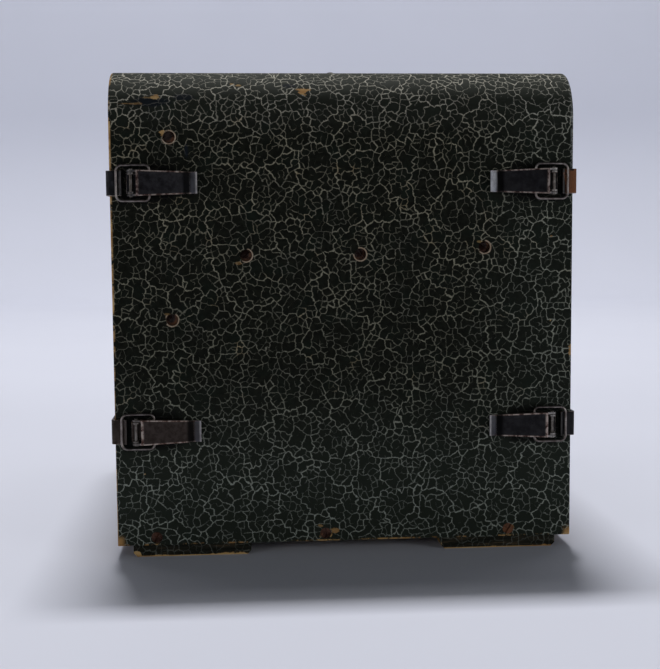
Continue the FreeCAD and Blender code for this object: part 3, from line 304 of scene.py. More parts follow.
@shader_group("Vector Cells", "Crack Plate Swell")
def crackle(w, point, per_metre):
    """Jagged cracks that run along the edges of a fine Voronoi mosaic.

    A point's nearest and second nearest mosaic stones say which edge is near it, and the plane midway between
    the two says how far off. The edge is a crack where the two stones lie in different cells of a coarser
    net. There are three nets, and each cell of one shifts the next by its own colour, so that finer cracks
    end at coarser ones, as cracks in a skin do. Widths swell and thin with noise, and the third order is
    broken into short blind cracks.
    """
    bent = point
    for scale, reach in CRACK_BENDS:
        sway = w.vector("SUBTRACT", w.noise(point, scale, 1, 0.5, "Color"), (0.5, 0.5, 0.5))
        bent = w.vector("ADD", bent, w.scaled(sway, reach))
    stones = per_metre * STONE_SCALE
    here = w.cells(bent, stones, "Position")
    there = w.cells(bent, stones, "Position", "F2")
    across = w.vector("NORMALIZE", w.vector("SUBTRACT", there, here))
    middle = w.scaled(w.vector("ADD", here, there), 0.5)
    gap = w.measure("DOT_PRODUCT", w.vector("SUBTRACT", middle, bent), across)
    swell = w.noise(point, 38)
    widths = (swell.span(0.00013, 0.00074),
              w.noise(point, 40).rise(0.30, 0.68).span(0.00013, 0.00048),
              w.noise(point, 130, 1).rise(0.40, 0.60) * 0.00034)
    cracks, edges, cells = [], [], None
    for width, (scale, shift, clear) in zip(widths, CRACK_ORDERS):
        spots = (here, there)
        if cells:
            spots = [w.vector("ADD", spot, w.scaled(cell, shift)) for spot, cell in zip(spots, cells)]
        net = per_metre * scale
        cells = [w.cells(spot, net) for spot in spots]
        edges.append(w.measure("DISTANCE", *cells) > CELLS_APART)
        cracks.append(gap.rise(width, width * 0.35) * edges[-1] * clear)
    plate = 1 - w.most(*edges[:2]) * gap.rise(0.0010, 0)
    return w.most(*cracks), plate, swell


@shader_group("Vector Grain Dark Light", "Color Height")
def timber(w, point, grain, dark, light):
    """Wood whose growth rings are waves across the grain, bent by noise stretched along the grain."""
    along = w.stretched(point, grain)
    bend = w.noise(along, 9, 3, 0.55)
    rings = w.wave(along, 16, {"Distortion": 7, "Detail": 3, "Detail Scale": 1.4}, "DIAGONAL")
    fibre = w.noise(w.stretched(along, (5, 5, 5)), 60, 3, 0.7)
    tone = rings * 0.55 + fibre * 0.45
    colour = w.mix(tone, dark, light)
    stain = w.noise(point, 14, 3).rise(0.42, 0.75)
    colour = w.mix(stain * 0.45, colour, dark)
    return colour, bend * 0.4 + fibre * 0.6


@shader_group("Vector Clean Dull Rust", "Color Roughness Metallic Height")
def old_metal(w, point, clean, dull, rusty):
    """Mottled metal: clean and dull tones by noise, and rust where a rougher noise passes a level."""
    mottle = w.noise(point, 260, 4, 0.65)
    colour = w.mix(mottle.rise(0.3, 0.7), dull, clean)
    field = w.noise(point, 120, 5, 0.7)
    level = 0.78 - rusty * 0.5
    rust = field.rise(level, level + 0.09)
    grit = w.noise(point, 1500)
    colour = w.mix(rust, colour, w.mix(grit, (0.05, 0.016, 0.006), (0.24, 0.085, 0.025)))
    rough = mottle.span(0.24, 0.5) + rust * 0.4
    return colour, rough, 1 - rust, rust * grit + mottle * 0.5


@shader_group("Vector Tone Deep Dust", "Color Roughness Height")
def moulding(w, point, tone, deep, dusty):
    """A moulded or polished surface: slow drift of tone, fine dust specks and a slightly varied roughness."""
    drift = w.noise(point, 40, 3)
    colour = w.mix(drift.rise(0.3, 0.75), deep, tone)
    dust = w.noise(point, 900, 2, 0.7).rise(0.62, 0.82)
    colour = w.mix(dust * dusty, colour, (0.3, 0.27, 0.22))
    return colour, drift.span(0.22, 0.4) + dust * 0.25, w.noise(point, 700, 3)


@shader_group("Vector Normal", "Vector")
def flat_place(w, point, normal):
    """Coordinates on a flat face: the two axes that it lies along, picked by its normal's largest part."""
    x, y, z = w.split(point)
    across, deep, high = (abs(part) for part in w.split(normal))
    faces_x = across > w.most(deep, high)
    faces_z = high > w.most(across, deep)
    return [w.join(w.blend(faces_x, x, y), w.blend(faces_z, z, y))]


@shader_group("Vector", "Vector Depth Run")
def arch_place(w, point):
    """Coordinates unrolled round the arch: along it, and the distance up a wall, round the bend and across.

    The depth below the outer skin is added along the arch, so that the skin runs on over the walls' ends.
    """
    x, y, z = w.split(point)
    side = abs(y)
    above = w.most(z - ARCH_LEVEL, 0)
    outside = w.most(side - ARCH_SIDE, 1e-6)
    inside = w.most(ARCH_SIDE - side, 0)
    bend = w.math("ARCTAN2", above, outside) * ARCH_RADIUS
    run = w.least(z, ARCH_LEVEL) + bend
    top_share = above > 0.001
    run = run + inside * top_share
    half = (y > 0) * 0.83
    deep = ARCH_RADIUS - w.math("SQRT", above * above + outside * outside)
    flat_deep = w.least(HALF_WIDTH - side, CASE_TOP - z)
    in_bend = top_share * (outside > 0.001)
    depth = w.blend(in_bend, flat_deep, deep)
    return w.join(x + half + depth, run), depth, run


# Finishes

LACQUER_SHEEN = 0.06


def lacquer_skin(w, place, run, wear):
    """Colour, roughness and height of crackled lacquer worn through to the wood by a mask.

    The plates are nearly black green. The ground in the cracks is tan where a slow noise is high and further
    up the wall, and grey-green elsewhere. Both are paler and cooler towards the foot of the wall, as painted
    light from the floor, and paler round the bend at its top, with dust and a painted sheen. Both are cooler
    further along the skin, which on the near wall is towards the rear.
    """
    crack, plate, swell = w.use(crackle, place, 50)
    # Paler and cooler towards the foot of the wall: painted light from the floor.
    low = run.rise(0.13, 0.03)
    rear = w.split(place)[0].rise(0.07, 0.14)
    # Paler round the bend at the top: dust and a painted sheen.
    dust = run.rise(0.268, 0.318) * run.rise(0.320, 0.346).span(1, 0.4)
    mottle = w.noise(place, 300, 3, 0.6).rise(0.35, 0.7)
    dark = w.layers(w.mix(mottle, (0.0036, 0.0042, 0.0023), (0.0088, 0.0098, 0.0060)),
                    (w.noise(place, 60, 3).rise(0.45, 0.75) * 0.5, (0.0060, 0.0110, 0.0072)),
                    (low * 0.75, (0.0205, 0.0255, 0.0190)),
                    (rear * 0.35, (0.0145, 0.0190, 0.0140)),
                    (dust * 0.9, (0.0290, 0.0325, 0.0255)))
    warm = (w.noise(place, 11) * 0.75 + run.rise(0.05, 0.33)).rise(0.35, 1.3)
    ground = w.layers(w.mix(warm, (0.178, 0.178, 0.134), (0.236, 0.220, 0.158)),
                      (w.noise(place, 62, 3).rise(0.58, 0.75) * 0.5, (0.34, 0.245, 0.120)),
                      (swell.rise(0.6, 0.3) * 0.7, (0.100, 0.101, 0.085)),
                      (low * 0.85, (0.285, 0.315, 0.272)),
                      (rear * 0.55, (0.262, 0.285, 0.240)),
                      (dust * 0.9, (0.49, 0.47, 0.40)))
    wood, wood_height = w.use(timber, place, (0.25, 3, 1), (0.24, 0.11, 0.03), (0.66, 0.45, 0.20))
    colour = w.mix(wear, w.mix(crack, dark, ground), wood)
    rough = w.noise(place, 45, 3).span(0.48, 0.64) + crack * 0.3
    rough = w.blend(wear, rough + dust * 0.2, 0.75)
    skin_height = (1 - crack) * 0.75 + plate * 0.25
    height = w.blend(wear, skin_height, wood_height * 0.25)
    return colour, rough, height


def bare_board(w, place, grain):
    """Colour and height of plain aged softwood."""
    return w.use(timber, place, grain, (0.13, 0.065, 0.026), (0.37, 0.23, 0.11))


def bared(w, mask, skin, board):
    """The colour, roughness and height of a skin, and those of a bare board where a mask is 1."""
    colour, rough, height = skin
    wood, wood_height = board
    return w.mix(mask, colour, wood), w.blend(mask, rough, 0.8), w.blend(mask, height, wood_height * 0.3)


def patch_size(w, x, run, patch):
    """How far out a point is in a patch on the near wall: 1 on the ellipse of its half sizes."""
    along, level, long, tall = (measure / 1000 for measure in patch)
    offset = w.vector("SUBTRACT", w.join(x, run), (along, level, 0))
    return w.measure("LENGTH", w.vector("DIVIDE", offset, (long, tall, 1)))


# Bluish smears on the near wall, in millimetres: x, distance up round the arch, half length and half height
SMEARS = (
    (-122.5, 294.5, 15, 4.2), (-102, 298, 8, 3), (-35, 307, 5, 2), (-101, 264, 1.6, 6),
)
# Chips through the near wall's lacquer: the same in millimetres, and clearness
CHIPS = (
    (-25.9, 301.8, 3, 2.6, 1), (-22.8, 303.5, 2.2, 1, 0.8), (-29.2, 304, 1.6, 0.8, 0.6),
    (-124.5, 297.6, 4, 0.7, 0.4), (-120.5, 297.8, 2.6, 1.7, 0.8), (-135, 293.3, 8.5, 0.6, 0.5),
    (-130, 293.5, 2, 1.1, 0.35), (-71.4, 308.8, 1.4, 0.8, 0.5), (-67, 307.5, 2.2, 0.9, 0.5),
    (149.6, 132, 1.6, 4, 0.9), (-116, 274.6, 1.8, 1.8, 0.7), (-69, 191.6, 2, 1, 0.35),
    (88.5, 204, 2, 0.8, 0.3), (-115, 159, 2, 0.8, 0.3), (-8, 14.6, 2.6, 1.4, 0.8),
    (-17.5, 18, 2.2, 0.9, 0.6), (135.6, 207.3, 0.8, 0.6, 0.5), (135.7, 152.1, 0.6, 0.7, 0.5),
    (-131.4, 55.3, 0.8, 0.6, 0.5),
)


@finish(Specular_IOR_Level=LACQUER_SHEEN)
def shell_lacquer(w, point):
    """The case: lacquer outside, bare wood inside and in the screw holes, worn at its edges and a few chips.

    Smears lie over the near wall's cracks and its rear edge is scuffed. The wood in the screw holes darkens
    with depth as painted shade, their pale worn rims are brighter on the lower right as a painted highlight,
    and the wall round the latches is darkened as painted shade.
    """
    x, y, z = w.split(point)
    place, depth, run = w.use(arch_place, point)
    ragged = w.noise(point, 55, 4, 0.65)
    fine = w.noise(point, 420, 3, 0.7)
    jag = w.noise(w.stretched(point, (0.6, 1, 1.3)), 480, 4, 0.75)
    rag = ragged * 0.7 + fine * 0.3
    end_gap = HALF_DEPTH - abs(x)
    front_end = x < 0
    reach = 0.0007 + front_end * z.rise(0.10, 0.14) * 0.0011
    bare_level = w.blend(front_end, 0.55, 0.44)
    end_wear = end_gap.rise(reach, reach * 0.35) * rag.rise(bare_level, bare_level + 0.07)
    foot_gap = z - CASE_FOOT
    foot_wear = foot_gap.rise(0.0013, 0.0006) * rag.rise(0.49, 0.56)
    corner = foot_gap.rise(0.008, 0.003) * end_gap.rise(0.006, 0.002) * rag.rise(0.4, 0.5)
    chips = [(patch_size(w, x, run, patch) - (jag - 0.5) * 3.4).rise(1, 0.85) * clear
             for *patch, clear in CHIPS]
    near_side = y < 0
    chip = w.most(*chips) * near_side
    hole_gap = w.near(HOLES, point, ALONG_WALL)
    rim_out = hole_gap - fine * 0.0007
    # Larger towards each hole's lower right, where the pale worn rim is brighter as a painted highlight.
    highlight_lean = w.near(HOLE_SHADES, point, ALONG_WALL) - hole_gap
    rim_let = w.noise(point, 170) + highlight_lean * 160
    rim_wear_and_highlight = rim_out.rise(0.0045, 0.0041) * rim_let.rise(0.36, 0.50)
    halo_gap = w.near(EDGE_HOLES, point, ALONG_WALL)
    halo = (halo_gap - ragged * 0.0034).rise(0.0031, 0.0024) * w.noise(point, 200).rise(0.55, 0.7)
    wear = w.most(end_wear, foot_wear, corner, chip, halo)
    colour, rough, height = lacquer_skin(w, place, run, wear)
    smears = [(patch_size(w, x, run, patch) - (ragged - 0.5)).rise(1, 0.5) for patch in SMEARS]
    smear = w.most(*smears) * near_side * (0.75 - wear)
    scuff = (HALF_DEPTH - x).rise(0.0026, 0.0006) * z.rise(0.222, 0.250) * fine.rise(0.46, 0.60)
    colour = w.layers(colour, (rim_wear_and_highlight * 0.85, w.mix(fine, (0.20, 0.11, 0.05), (0.52, 0.44, 0.34))),
                      (w.most(smear, 0), (0.0070, 0.0100, 0.0150)), (scuff * 0.7, (0.27, 0.28, 0.26)))
    wood, wood_height = bare_board(w, point, (0.12, 1, 1))
    # The wood in the screw holes darkens with depth: painted shade.
    painted_hole_shade = w.mix(depth.rise(0.0009, 0.0023), (0.50, 0.38, 0.26), (0.03, 0.012, 0.006))
    wood = w.mix(depth.rise(0.0096, 0.0099), painted_hole_shade, wood)
    bare = depth.rise(0.0005, 0.0009) * (1 - end_gap.rise(0.0009, 0.0003))
    colour, rough, height = bared(w, bare, (colour, rough, height), (wood, wood_height))
    # The wall round each latch is darkened: painted shade under the lever and loop.
    level_gap = w.least(*(abs(z - level) for level in LATCH_LEVELS))
    painted_latch_shade = level_gap.rise(0.0155, 0.0095) * end_gap.rise(0.046, 0.036) * end_gap.rise(0.004, 0.0065)
    colour = w.mix(painted_latch_shade * 0.85, colour, (0.0018, 0.0018, 0.0014))
    return w.coat(colour, rough, height, 0.55, 0.0006)


@finish(Specular_IOR_Level=LACQUER_SHEEN)
def cover_lacquer(w, point):
    """A cover board: lacquer on its outer face, wood on its inner face, worn at its edges."""
    x, y, z = w.split(point)
    place = w.use(flat_place, point, w.facing())[0]
    inside = abs(x).rise(0.1495, 0.149)
    edge_gap = w.least(COVER_SIDE - abs(y), z - COVER_FOOT, COVER_HEAD - z)
    wear = edge_gap.rise(0.0016, 0.0005) * w.noise(point, 90, 4, 0.7).rise(0.42, 0.52)
    board = bare_board(w, point, (1, 1, 0.12))
    return w.coat(*bared(w, inside, lacquer_skin(w, place, z, wear), board), 0.55, 0.0006)


@finish(Specular_IOR_Level=LACQUER_SHEEN)
def skid_lacquer(w, point):
    """The runners: the same lacquer under streaked smears, bare underneath and in places along the edges."""
    x, _, z = w.split(point)
    place = w.use(flat_place, point, w.facing())[0]
    streaks = w.noise(w.stretched(point, (0.35, 1, 3)), 160, 4, 0.7)
    rubbed = streaks.rise(0.56, 0.70) * 0.22
    rag = w.noise(point, 110, 4, 0.7)
    low = (z - (rag - 0.5) * 0.006).rise(0.0010, 0.0003)
    side_gap = SKID_HALF - abs(abs(x) - SKID_PLACE)
    side = side_gap.rise(0.0012, 0.0004) * rag.rise(0.52, 0.6)
    chip_gap = w.measure("DISTANCE", point, (-0.138, -0.178, 0.0008))
    chip = (chip_gap - rag * 0.005).rise(0.0012, 0.0004)
    under = z.rise(0.0009, 0.0004)
    wear = w.most(rubbed, low, side, chip, under)
    colour, rough, height = lacquer_skin(w, place, z, wear)
    smear = w.mix(streaks.rise(0.35, 0.75), (0.0050, 0.0048, 0.0034), (0.034, 0.028, 0.019))
    colour = w.mix((1 - wear) * 0.72, colour, smear)
    return w.coat(colour, rough, height, 0.5, 0.0006)


@finish(Roughness=0.75)
def bare_wood(w, point):
    """Plain softwood with its grain along the case's width."""
    colour, height = bare_board(w, point, (1, 0.12, 1))
    return {"Base Color": colour, "Normal": w.bump(height, 0.3, 0.0004)}


def metal(*tones):
    """A drawing function for a metal of given clean and dull tones and rust."""
    def draw(w, point):
        colour, rough, shine, height = w.use(old_metal, point, *tones)
        return w.coat(colour, rough, height, 0.25, 0.0002, Metallic=shine)
    return draw


@finish()
def latch_oxide(w, point):
    """Blackened steel of the latches, worn by place, with painted highlights and shade.

    The inset from the case's end and the distance from the latch's middle line say which part of a latch a
    point is on. The lever's long edges are rubbed reddish and carry a painted highlight, its tab is lighter
    as a painted highlight, and the bend before the tab is black as painted shade. The ears about its pin and
    the strap's lip are rubbed bright. The steel is bluish or brown from latch to latch, and one strap is
    rusty.
    """
    x, y, z = w.split(point)
    inset = HALF_DEPTH - abs(x)
    aside = w.least(*(abs(z - level) for level in LATCH_LEVELS))
    proud = abs(y) - HALF_WIDTH
    brown = x.rise(0.02, -0.02) * z.rise(0.18, 0.14)
    rear = x.rise(-0.02, 0.02)
    blue = w.mix(rear, (0.034, 0.033, 0.035), (0.026, 0.0255, 0.0265))
    clean = w.mix(brown, blue, (0.054, 0.043, 0.037))
    dull = w.mix(brown, (0.0125, 0.012, 0.0125), (0.025, 0.0185, 0.0155))
    strap = x.rise(0.140, 0.146) * z.rise(0.2, 0.22) * y.rise(0.02, -0.02)
    rust = strap.span(0.10, 0.85)
    colour, rough, shine, height = w.use(old_metal, point, clean, dull, rust)
    patchy = w.noise(point, 300, 3, 0.65).rise(0.35, 0.6)
    half = 0.0083 - (inset - 0.014) * 0.036
    on_lever = inset.rise(0.0160, 0.0172) * proud.rise(0.0030, 0.0036)
    # The lever's long edges: reddish rubbed wear with a painted highlight.
    edge = w.most((half - aside).rise(0.0011, 0.0003), inset.rise(0.0196, 0.0180))
    rim_wear_and_highlight = edge * on_lever * patchy.span(0.25, 1)
    # The bend before the tab is black as painted shade, and the tab is lighter as a painted highlight.
    painted_dip_shade = inset.rise(0.0455, 0.0480) * inset.rise(0.0520, 0.0500)
    tab = inset.rise(0.0505, 0.0525) * patchy.span(0.6, 0.95)
    painted_tab_highlight = w.mix(inset.rise(0.0540, 0.0552), (0.055, 0.055, 0.062), (0.26, 0.25, 0.25))
    painted_tab_highlight = w.mix(rear * z.rise(0.15, 0.18), painted_tab_highlight, (0.22, 0.225, 0.245))
    ears = inset.rise(0.0178, 0.0168) * inset.rise(0.0095, 0.0105) * proud.rise(0.0016, 0.0030)
    ears = ears * rear.span(0.30, 0.75)
    lip = inset.rise(0.0060, 0.0066) * inset.rise(0.0084, 0.0080) * proud.rise(0.0022, 0.0030)
    bright = w.most(ears, lip * 0.12) * patchy.span(0.35, 0.9)
    colour = w.layers(colour, (rim_wear_and_highlight, w.mix(patchy, (0.15, 0.055, 0.035), (0.42, 0.35, 0.30))),
                      (painted_dip_shade * 0.9, (0.004, 0.004, 0.004)), (tab, painted_tab_highlight), (bright, (0.40, 0.375, 0.35)))
    return w.coat(colour, rough + 0.08, height, 0.12, 0.0002, Metallic=shine)


@finish()
def screw_rust(w, point):
    """Rusted screws; heads deep in the walls are darkened as painted shade, most on their upper left."""
    colour, rough, shine, height = w.use(old_metal, point, (0.120, 0.066, 0.048), (0.046, 0.021, 0.014), 0.6)
    out = abs(w.split(point)[1])
    # Heads sunk in the holes are darkened, most on their upper left: painted shade.
    sunk = out.rise(0.1790, 0.1776) * out.rise(0.1725, 0.1745)
    patch = w.noise(point, 240, 3, 0.7).rise(0.35, 0.62)
    shade = w.near(HOLE_SHADES, point, ALONG_WALL).rise(0.0042, 0.0024)
    dark = sunk * w.most(patch.span(0.75, 0.15), shade * 0.93)
    colour = w.mix(dark, colour, (0.008, 0.004, 0.003))
    return w.coat(colour, rough, height, 0.4, 0.0002, Metallic=shine)


def moulded(*tones):
    """A drawing function for a moulding of a given tone, deeper tone and dust."""
    def draw(w, point):
        colour, rough, height = w.use(moulding, point, *tones)
        return w.coat(colour, rough, height, 0.06, 0.0002)
    return draw


@finish()
def panel_satin(w, point):
    """Satin black sheet: fine grit, and a few light scratches along it."""
    colour, rough, height = w.use(moulding, point, (0.02, 0.021, 0.022), (0.011, 0.0115, 0.012), 0.3)
    along = w.stretched(point, (1, 0.06, 1.6), (0.5, 0, 0))
    scratch = w.noise(along, 520, 2, 0.6).rise(0.68, 0.78)
    colour = w.mix(scratch * 0.35, colour, (0.12, 0.12, 0.115))
    grit = height * 0.5 + w.noise(point, 2600, 1)
    return w.coat(colour, rough + 0.12, grit, 0.12, 0.0001)


@finish()
def dial_card(w, point):
    """Aged card: cream, browner towards its edge and foxed."""
    gap = w.near([(0, 0, METER_LEVEL)], point, (0, 1, 1))
    colour = w.mix(gap.rise(0.02, 0.037), (0.72, 0.66, 0.5), (0.5, 0.4, 0.24))
    fox = w.noise(point, 350, 4, 0.7).rise(0.62, 0.75)
    colour = w.mix(fox * 0.4, colour, (0.36, 0.22, 0.1))
    return {"Base Color": colour, "Roughness": fox.span(0.6, 0.8)}


@finish(Base_Color=(0.93, 0.96, 0.95), Transmission_Weight=1, IOR=1.15)
def meter_glass(w, point):
    """Clear glass with a little dust in its roughness."""
    haze = w.noise(point, 130, 4, 0.7).rise(0.5, 0.9)
    return {"Roughness": haze.span(0.02, 0.16)}


@finish(Metallic=0.6)
def core_iron(w, point):
    """Stacked iron sheets: thin dark lines across the stack, with varnish and rust between them."""
    sheets = w.wave(w.join(w.split(point)[1] + w.noise(point, 60) * 0.0004), 320)
    rust = w.noise(point, 90, 4, 0.7).rise(0.5, 0.68)
    colour = w.mix(sheets, (0.012, 0.011, 0.01), (0.085, 0.08, 0.074))
    colour = w.mix(rust * 0.6, colour, (0.13, 0.05, 0.018))
    return w.coat(colour, rust.span(0.4, 0.8), sheets, 0.4, 0.0003)


@finish()
def coil_paper(w, point):
    """Varnished paper wound in turns, a shade darker at each turn's edge."""
    turns = w.wave(w.join(w.split(point)[2]), 45, {"Distortion": 0.6})
    mottle = w.noise(point, 70, 4, 0.6)
    colour = w.mix(mottle, (0.16, 0.075, 0.02), (0.42, 0.25, 0.09))
    colour = w.mix(turns.rise(0.25, 0) * 0.7, colour, (0.07, 0.03, 0.012))
    return w.coat(colour, mottle.span(0.3, 0.55), turns, 0.3, 0.0004)


@finish()
def grip_leather(w, point):
    """Brown leather: pebbled grain from small cells, worn paler in patches."""
    grain = w.add("ShaderNodeTexVoronoi", {"Vector": point, "Scale": 900}, "Distance", feature="F1")
    worn = w.noise(point, 70, 4, 0.65).rise(0.45, 0.7)
    colour = w.mix(worn, (0.035, 0.015, 0.008), (0.14, 0.065, 0.03))
    return w.coat(colour, worn.span(0.42, 0.66), grain, 0.4, 0.0003)


@finish()
def mark_cream(w, point):
    """Cream filling of engraved marks, rubbed away in places."""
    rub = w.noise(point, 600, 4, 0.7).rise(0.35, 0.6)
    return {"Base Color": w.mix(rub, (0.3, 0.28, 0.22), (0.72, 0.68, 0.56)), "Roughness": rub.span(0.8, 0.55)}


@finish()
def dial_ink(w, point):
    """Printed ink with a slight fade."""
    fade = w.noise(point, 300, 3)
    colour = w.mix(fade, (0.01, 0.01, 0.011), (0.05, 0.045, 0.04))
    return {"Base Color": colour, "Roughness": fade.span(0.55, 0.75)}


@finish(Roughness=0.06, Transmission_Weight=0.6, IOR=1.5)
def jewel_red(w, point):
    """Red glass with faint ripples, deeper and lighter with them."""
    ripple = w.noise(point, 400)
    colour = w.mix(ripple, (0.32, 0.008, 0.006), (0.6, 0.03, 0.02))
    return {"Base Color": colour, "Normal": w.bump(ripple, 0.15, 0.0003)}


# Tones of metals (clean, dull, rust) and of mouldings (tone, deep, dust), by the name of the finish
METALS = {
    "latch_worn_edge": ((0.46, 0.41, 0.37), (0.20, 0.13, 0.10), 0.15),
    "loop_wire": ((0.30, 0.27, 0.25), (0.105, 0.085, 0.075), 0.12),
    "pin_bright": ((0.17, 0.155, 0.14), (0.06, 0.05, 0.042), 0.15),
    "handle_plate": ((0.34, 0.32, 0.29), (0.13, 0.12, 0.11), 0.22),
    "needle_black": ((0.02, 0.02, 0.02), (0.01, 0.01, 0.01), 0),
    "contact_brass": ((0.6, 0.42, 0.16), (0.26, 0.16, 0.055), 0.05),
    "bush_nickel": ((0.58, 0.56, 0.51), (0.32, 0.3, 0.27), 0.08),
    "spring_steel": ((0.42, 0.41, 0.39), (0.2, 0.19, 0.18), 0.12),
    "strap_black": ((0.05, 0.05, 0.052), (0.02, 0.02, 0.021), 0.3),
}
MOULDINGS = {
    "seam_thread": ((0.34, 0.25, 0.14), (0.19, 0.13, 0.07), 0.1),
    "meter_moulding": ((0.016, 0.016, 0.017), (0.008, 0.008, 0.009), 0.15),
    "socket_brown": ((0.085, 0.028, 0.013), (0.04, 0.013, 0.007), 0.2),
    "knob_black": ((0.014, 0.014, 0.015), (0.007, 0.007, 0.007), 0.22),
    "switch_brown": ((0.1, 0.04, 0.018), (0.05, 0.018, 0.009), 0.25),
    "button_red": ((0.36, 0.02, 0.014), (0.22, 0.012, 0.009), 0.1),
}
for name, tones in METALS.items():
    finish_of(name, metal(*tones))
for name, tones in MOULDINGS.items():
    finish_of(name, moulded(*tones))

# Finishes of the slots and nodes that don't have a finish of their slot's own name
SLOT_FINISH = {
    "latch_steel": "latch_oxide", "wire_steel": "loop_wire", "screw_steel": "screw_rust",
    "strap_steel": "strap_black", "handle_steel": "handle_plate", "panel_black": "panel_satin",
    "meter_black": "meter_moulding",
}
NODE_FINISH = {"latch_pins": "pin_bright", "case_shell": "shell_lacquer", "front_cover": "cover_lacquer",
               "rear_cover": "cover_lacquer", "skids": "skid_lacquer"}


def finish_for(slot):
    """The finish of a slot."""
    return FINISHES[SLOT_FINISH.get(slot, slot)]


for node, thing in NODES.items():
    for spot in thing.material_slots:
        spot.material = FINISHES[NODE_FINISH[node]] if node in NODE_FINISH else finish_for(SLOT_OF[node])


# Shapes worked out as arrays


def grid_faces(rows, columns, wrap=False):
    """Quads of a grid of points numbered row by row, the last column joined to the first where it wraps."""
    row, column = np.meshgrid(np.arange(rows - 1), np.arange(columns if wrap else columns - 1), indexing="ij")
    after = (column + 1) % columns
    start, end = row * columns, (row + 1) * columns
    return np.stack((start + column, start + after, end + after, end + column), -1).reshape(-1, 4)


def lathe(profile, count=32):
    """A profile of radius and height turned about Z: x and y are radius times an angle's cosine and sine."""
    profile = np.asarray(profile, float)
    angle = np.linspace(0, math.tau, count, endpoint=False)
    x = profile[:, :1] * np.cos(angle)
    y = profile[:, :1] * np.sin(angle)
    z = np.repeat(profile[:, 1:], count, axis=1)
    return np.stack((x, y, z), -1).reshape(-1, 3), grid_faces(len(profile), count, True)


def slotted_screw(width, head, dome, slot, deep, length, shank):
    """A screw along -Z with its head's top at 0: chords of the head's circle in columns across the slot.

    A column at x has its points spread along the chord of half length sqrt(r^2 - x^2). The top falls with the
    square of the distance from the axis, and drops by the slot's depth between the slot's two sides.
    """
    radius = width / 2
    half = slot / 2
    outer = radius * np.sin(np.linspace(0, math.pi / 2, 9))
    outer = outer[outer > half * 1.3]
    right = np.concatenate(([half, half * 1.001], outer))
    columns = np.concatenate((-right[::-1], [0], right))
    in_slot = np.abs(columns) <= half
    share = np.sin(np.linspace(-math.pi / 2, math.pi / 2, 17))
    x = np.repeat(columns[:, None], 17, axis=1)
    y = np.sqrt(np.maximum(radius ** 2 - columns ** 2, 0))[:, None] * share
    z = -dome * (x ** 2 + y ** 2) / radius ** 2 - deep * in_slot[:, None]
    z = np.where((np.abs(share) > 0.999) & ~in_slot[:, None], -dome * 1.2, z)
    top = np.stack((x, y, z), -1).reshape(-1, 3)
    profile = [(radius, -dome * 1.2), (radius, -head), (shank / 2, -head),
               (shank / 2, -head - length * 0.7), (0, -head - length)]
    return joined((top, grid_faces(len(columns), 17)), lathe(profile, 24))


def joined(*shapes):
    """Several shapes as one, the faces of each counted on from the points before it."""
    points, faces = zip(*shapes)
    starts = np.cumsum([0] + [len(part) for part in points[:-1]])
    return np.concatenate(points), np.concatenate([part + start for part, start in zip(faces, starts)])


def copies(shape, spots, turns):
    """A shape repeated: each copy's points are its turn applied to the shape, plus its spot."""
    points, faces = shape
    spots = np.asarray(spots, float)
    placed = np.einsum("kij,nj->kni", np.asarray(turns, float), points) + spots[:, None]
    counted = faces[None] + (np.arange(len(spots)) * len(points))[:, None, None]
    return placed.reshape(-1, 3), counted.reshape(-1, faces.shape[1])


def facing(way, spin=0):
    """A turn that brings a shape's +Z to face a way, after a spin about its own axis."""
    way = np.asarray(way, float)
    side = np.cross((0, 0, 1) if abs(way[2]) < 0.9 else (1, 0, 0), way)
    side = side / np.linalg.norm(side)
    base = np.stack((side, np.cross(way, side), way), 1)
    spun = np.array(((math.cos(spin), -math.sin(spin), 0), (math.sin(spin), math.cos(spin), 0), (0, 0, 1)))
    return base @ spun


def ribbon(path, side, width, thick, lift):
    """A flat band along a path: corners at plus and minus half its width, from lift to lift plus thick."""
    path = np.asarray(path, float)
    side = np.asarray(side, float) * width / 2
    lift = np.asarray(lift, float)
    out = lift / np.linalg.norm(lift)
    ring = np.stack((path - side + lift, path + side + lift, path + side + lift + out * thick,
                     path - side + lift + out * thick), 1)
    faces = grid_faces(len(path), 4, True)
    count = len(path) * 4
    caps = np.array(((0, 1, 2, 3), (count - 1, count - 2, count - 3, count - 4)))
    return ring.reshape(-1, 3), np.concatenate((faces, caps))


def shown(name, data):
    """An object of some data, in the scene."""
    thing = bpy.data.objects.new(name, data)
    bpy.context.scene.collection.objects.link(thing)
    return thing


def welded(mesh, step):
    """Close a mesh's seams and then take one more step on it, in place."""
    work = bmesh.new()
    work.from_mesh(mesh)
    bmesh.ops.remove_doubles(work, verts=work.verts, dist=WELD)
    step(work)
    work.to_mesh(mesh)
    work.free()


def mesh_of(name, shape):
    """A mesh from points and faces."""
    points, faces = shape
    mesh = bpy.data.meshes.new(name)
    mesh.from_pydata(points.tolist(), [], faces.tolist())
    return mesh


def piece(name, shape, body, slot, finish=None, crease=CREASE):
    """An object from points and faces, its seams closed and faces turned outwards, that rides on a body."""
    mesh = mesh_of(name, shape)
    welded(mesh, lambda work: bmesh.ops.recalc_face_normals(work, faces=work.faces))
    return settle(name, mesh, body, slot, finish, crease)


def settle(name, mesh, body, slot, finish=None, crease=CREASE):
    """Put a mesh in the scene on its body and in its slot, with its slot's finish or another."""
    mesh.shade_smooth()
    mesh.set_sharp_from_angle(angle=math.radians(crease))
    mesh.materials.clear()
    mesh.materials.append(FINISHES[finish] if finish else finish_for(slot))
    thing = shown(name, mesh)
    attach(thing, body)
    return thing


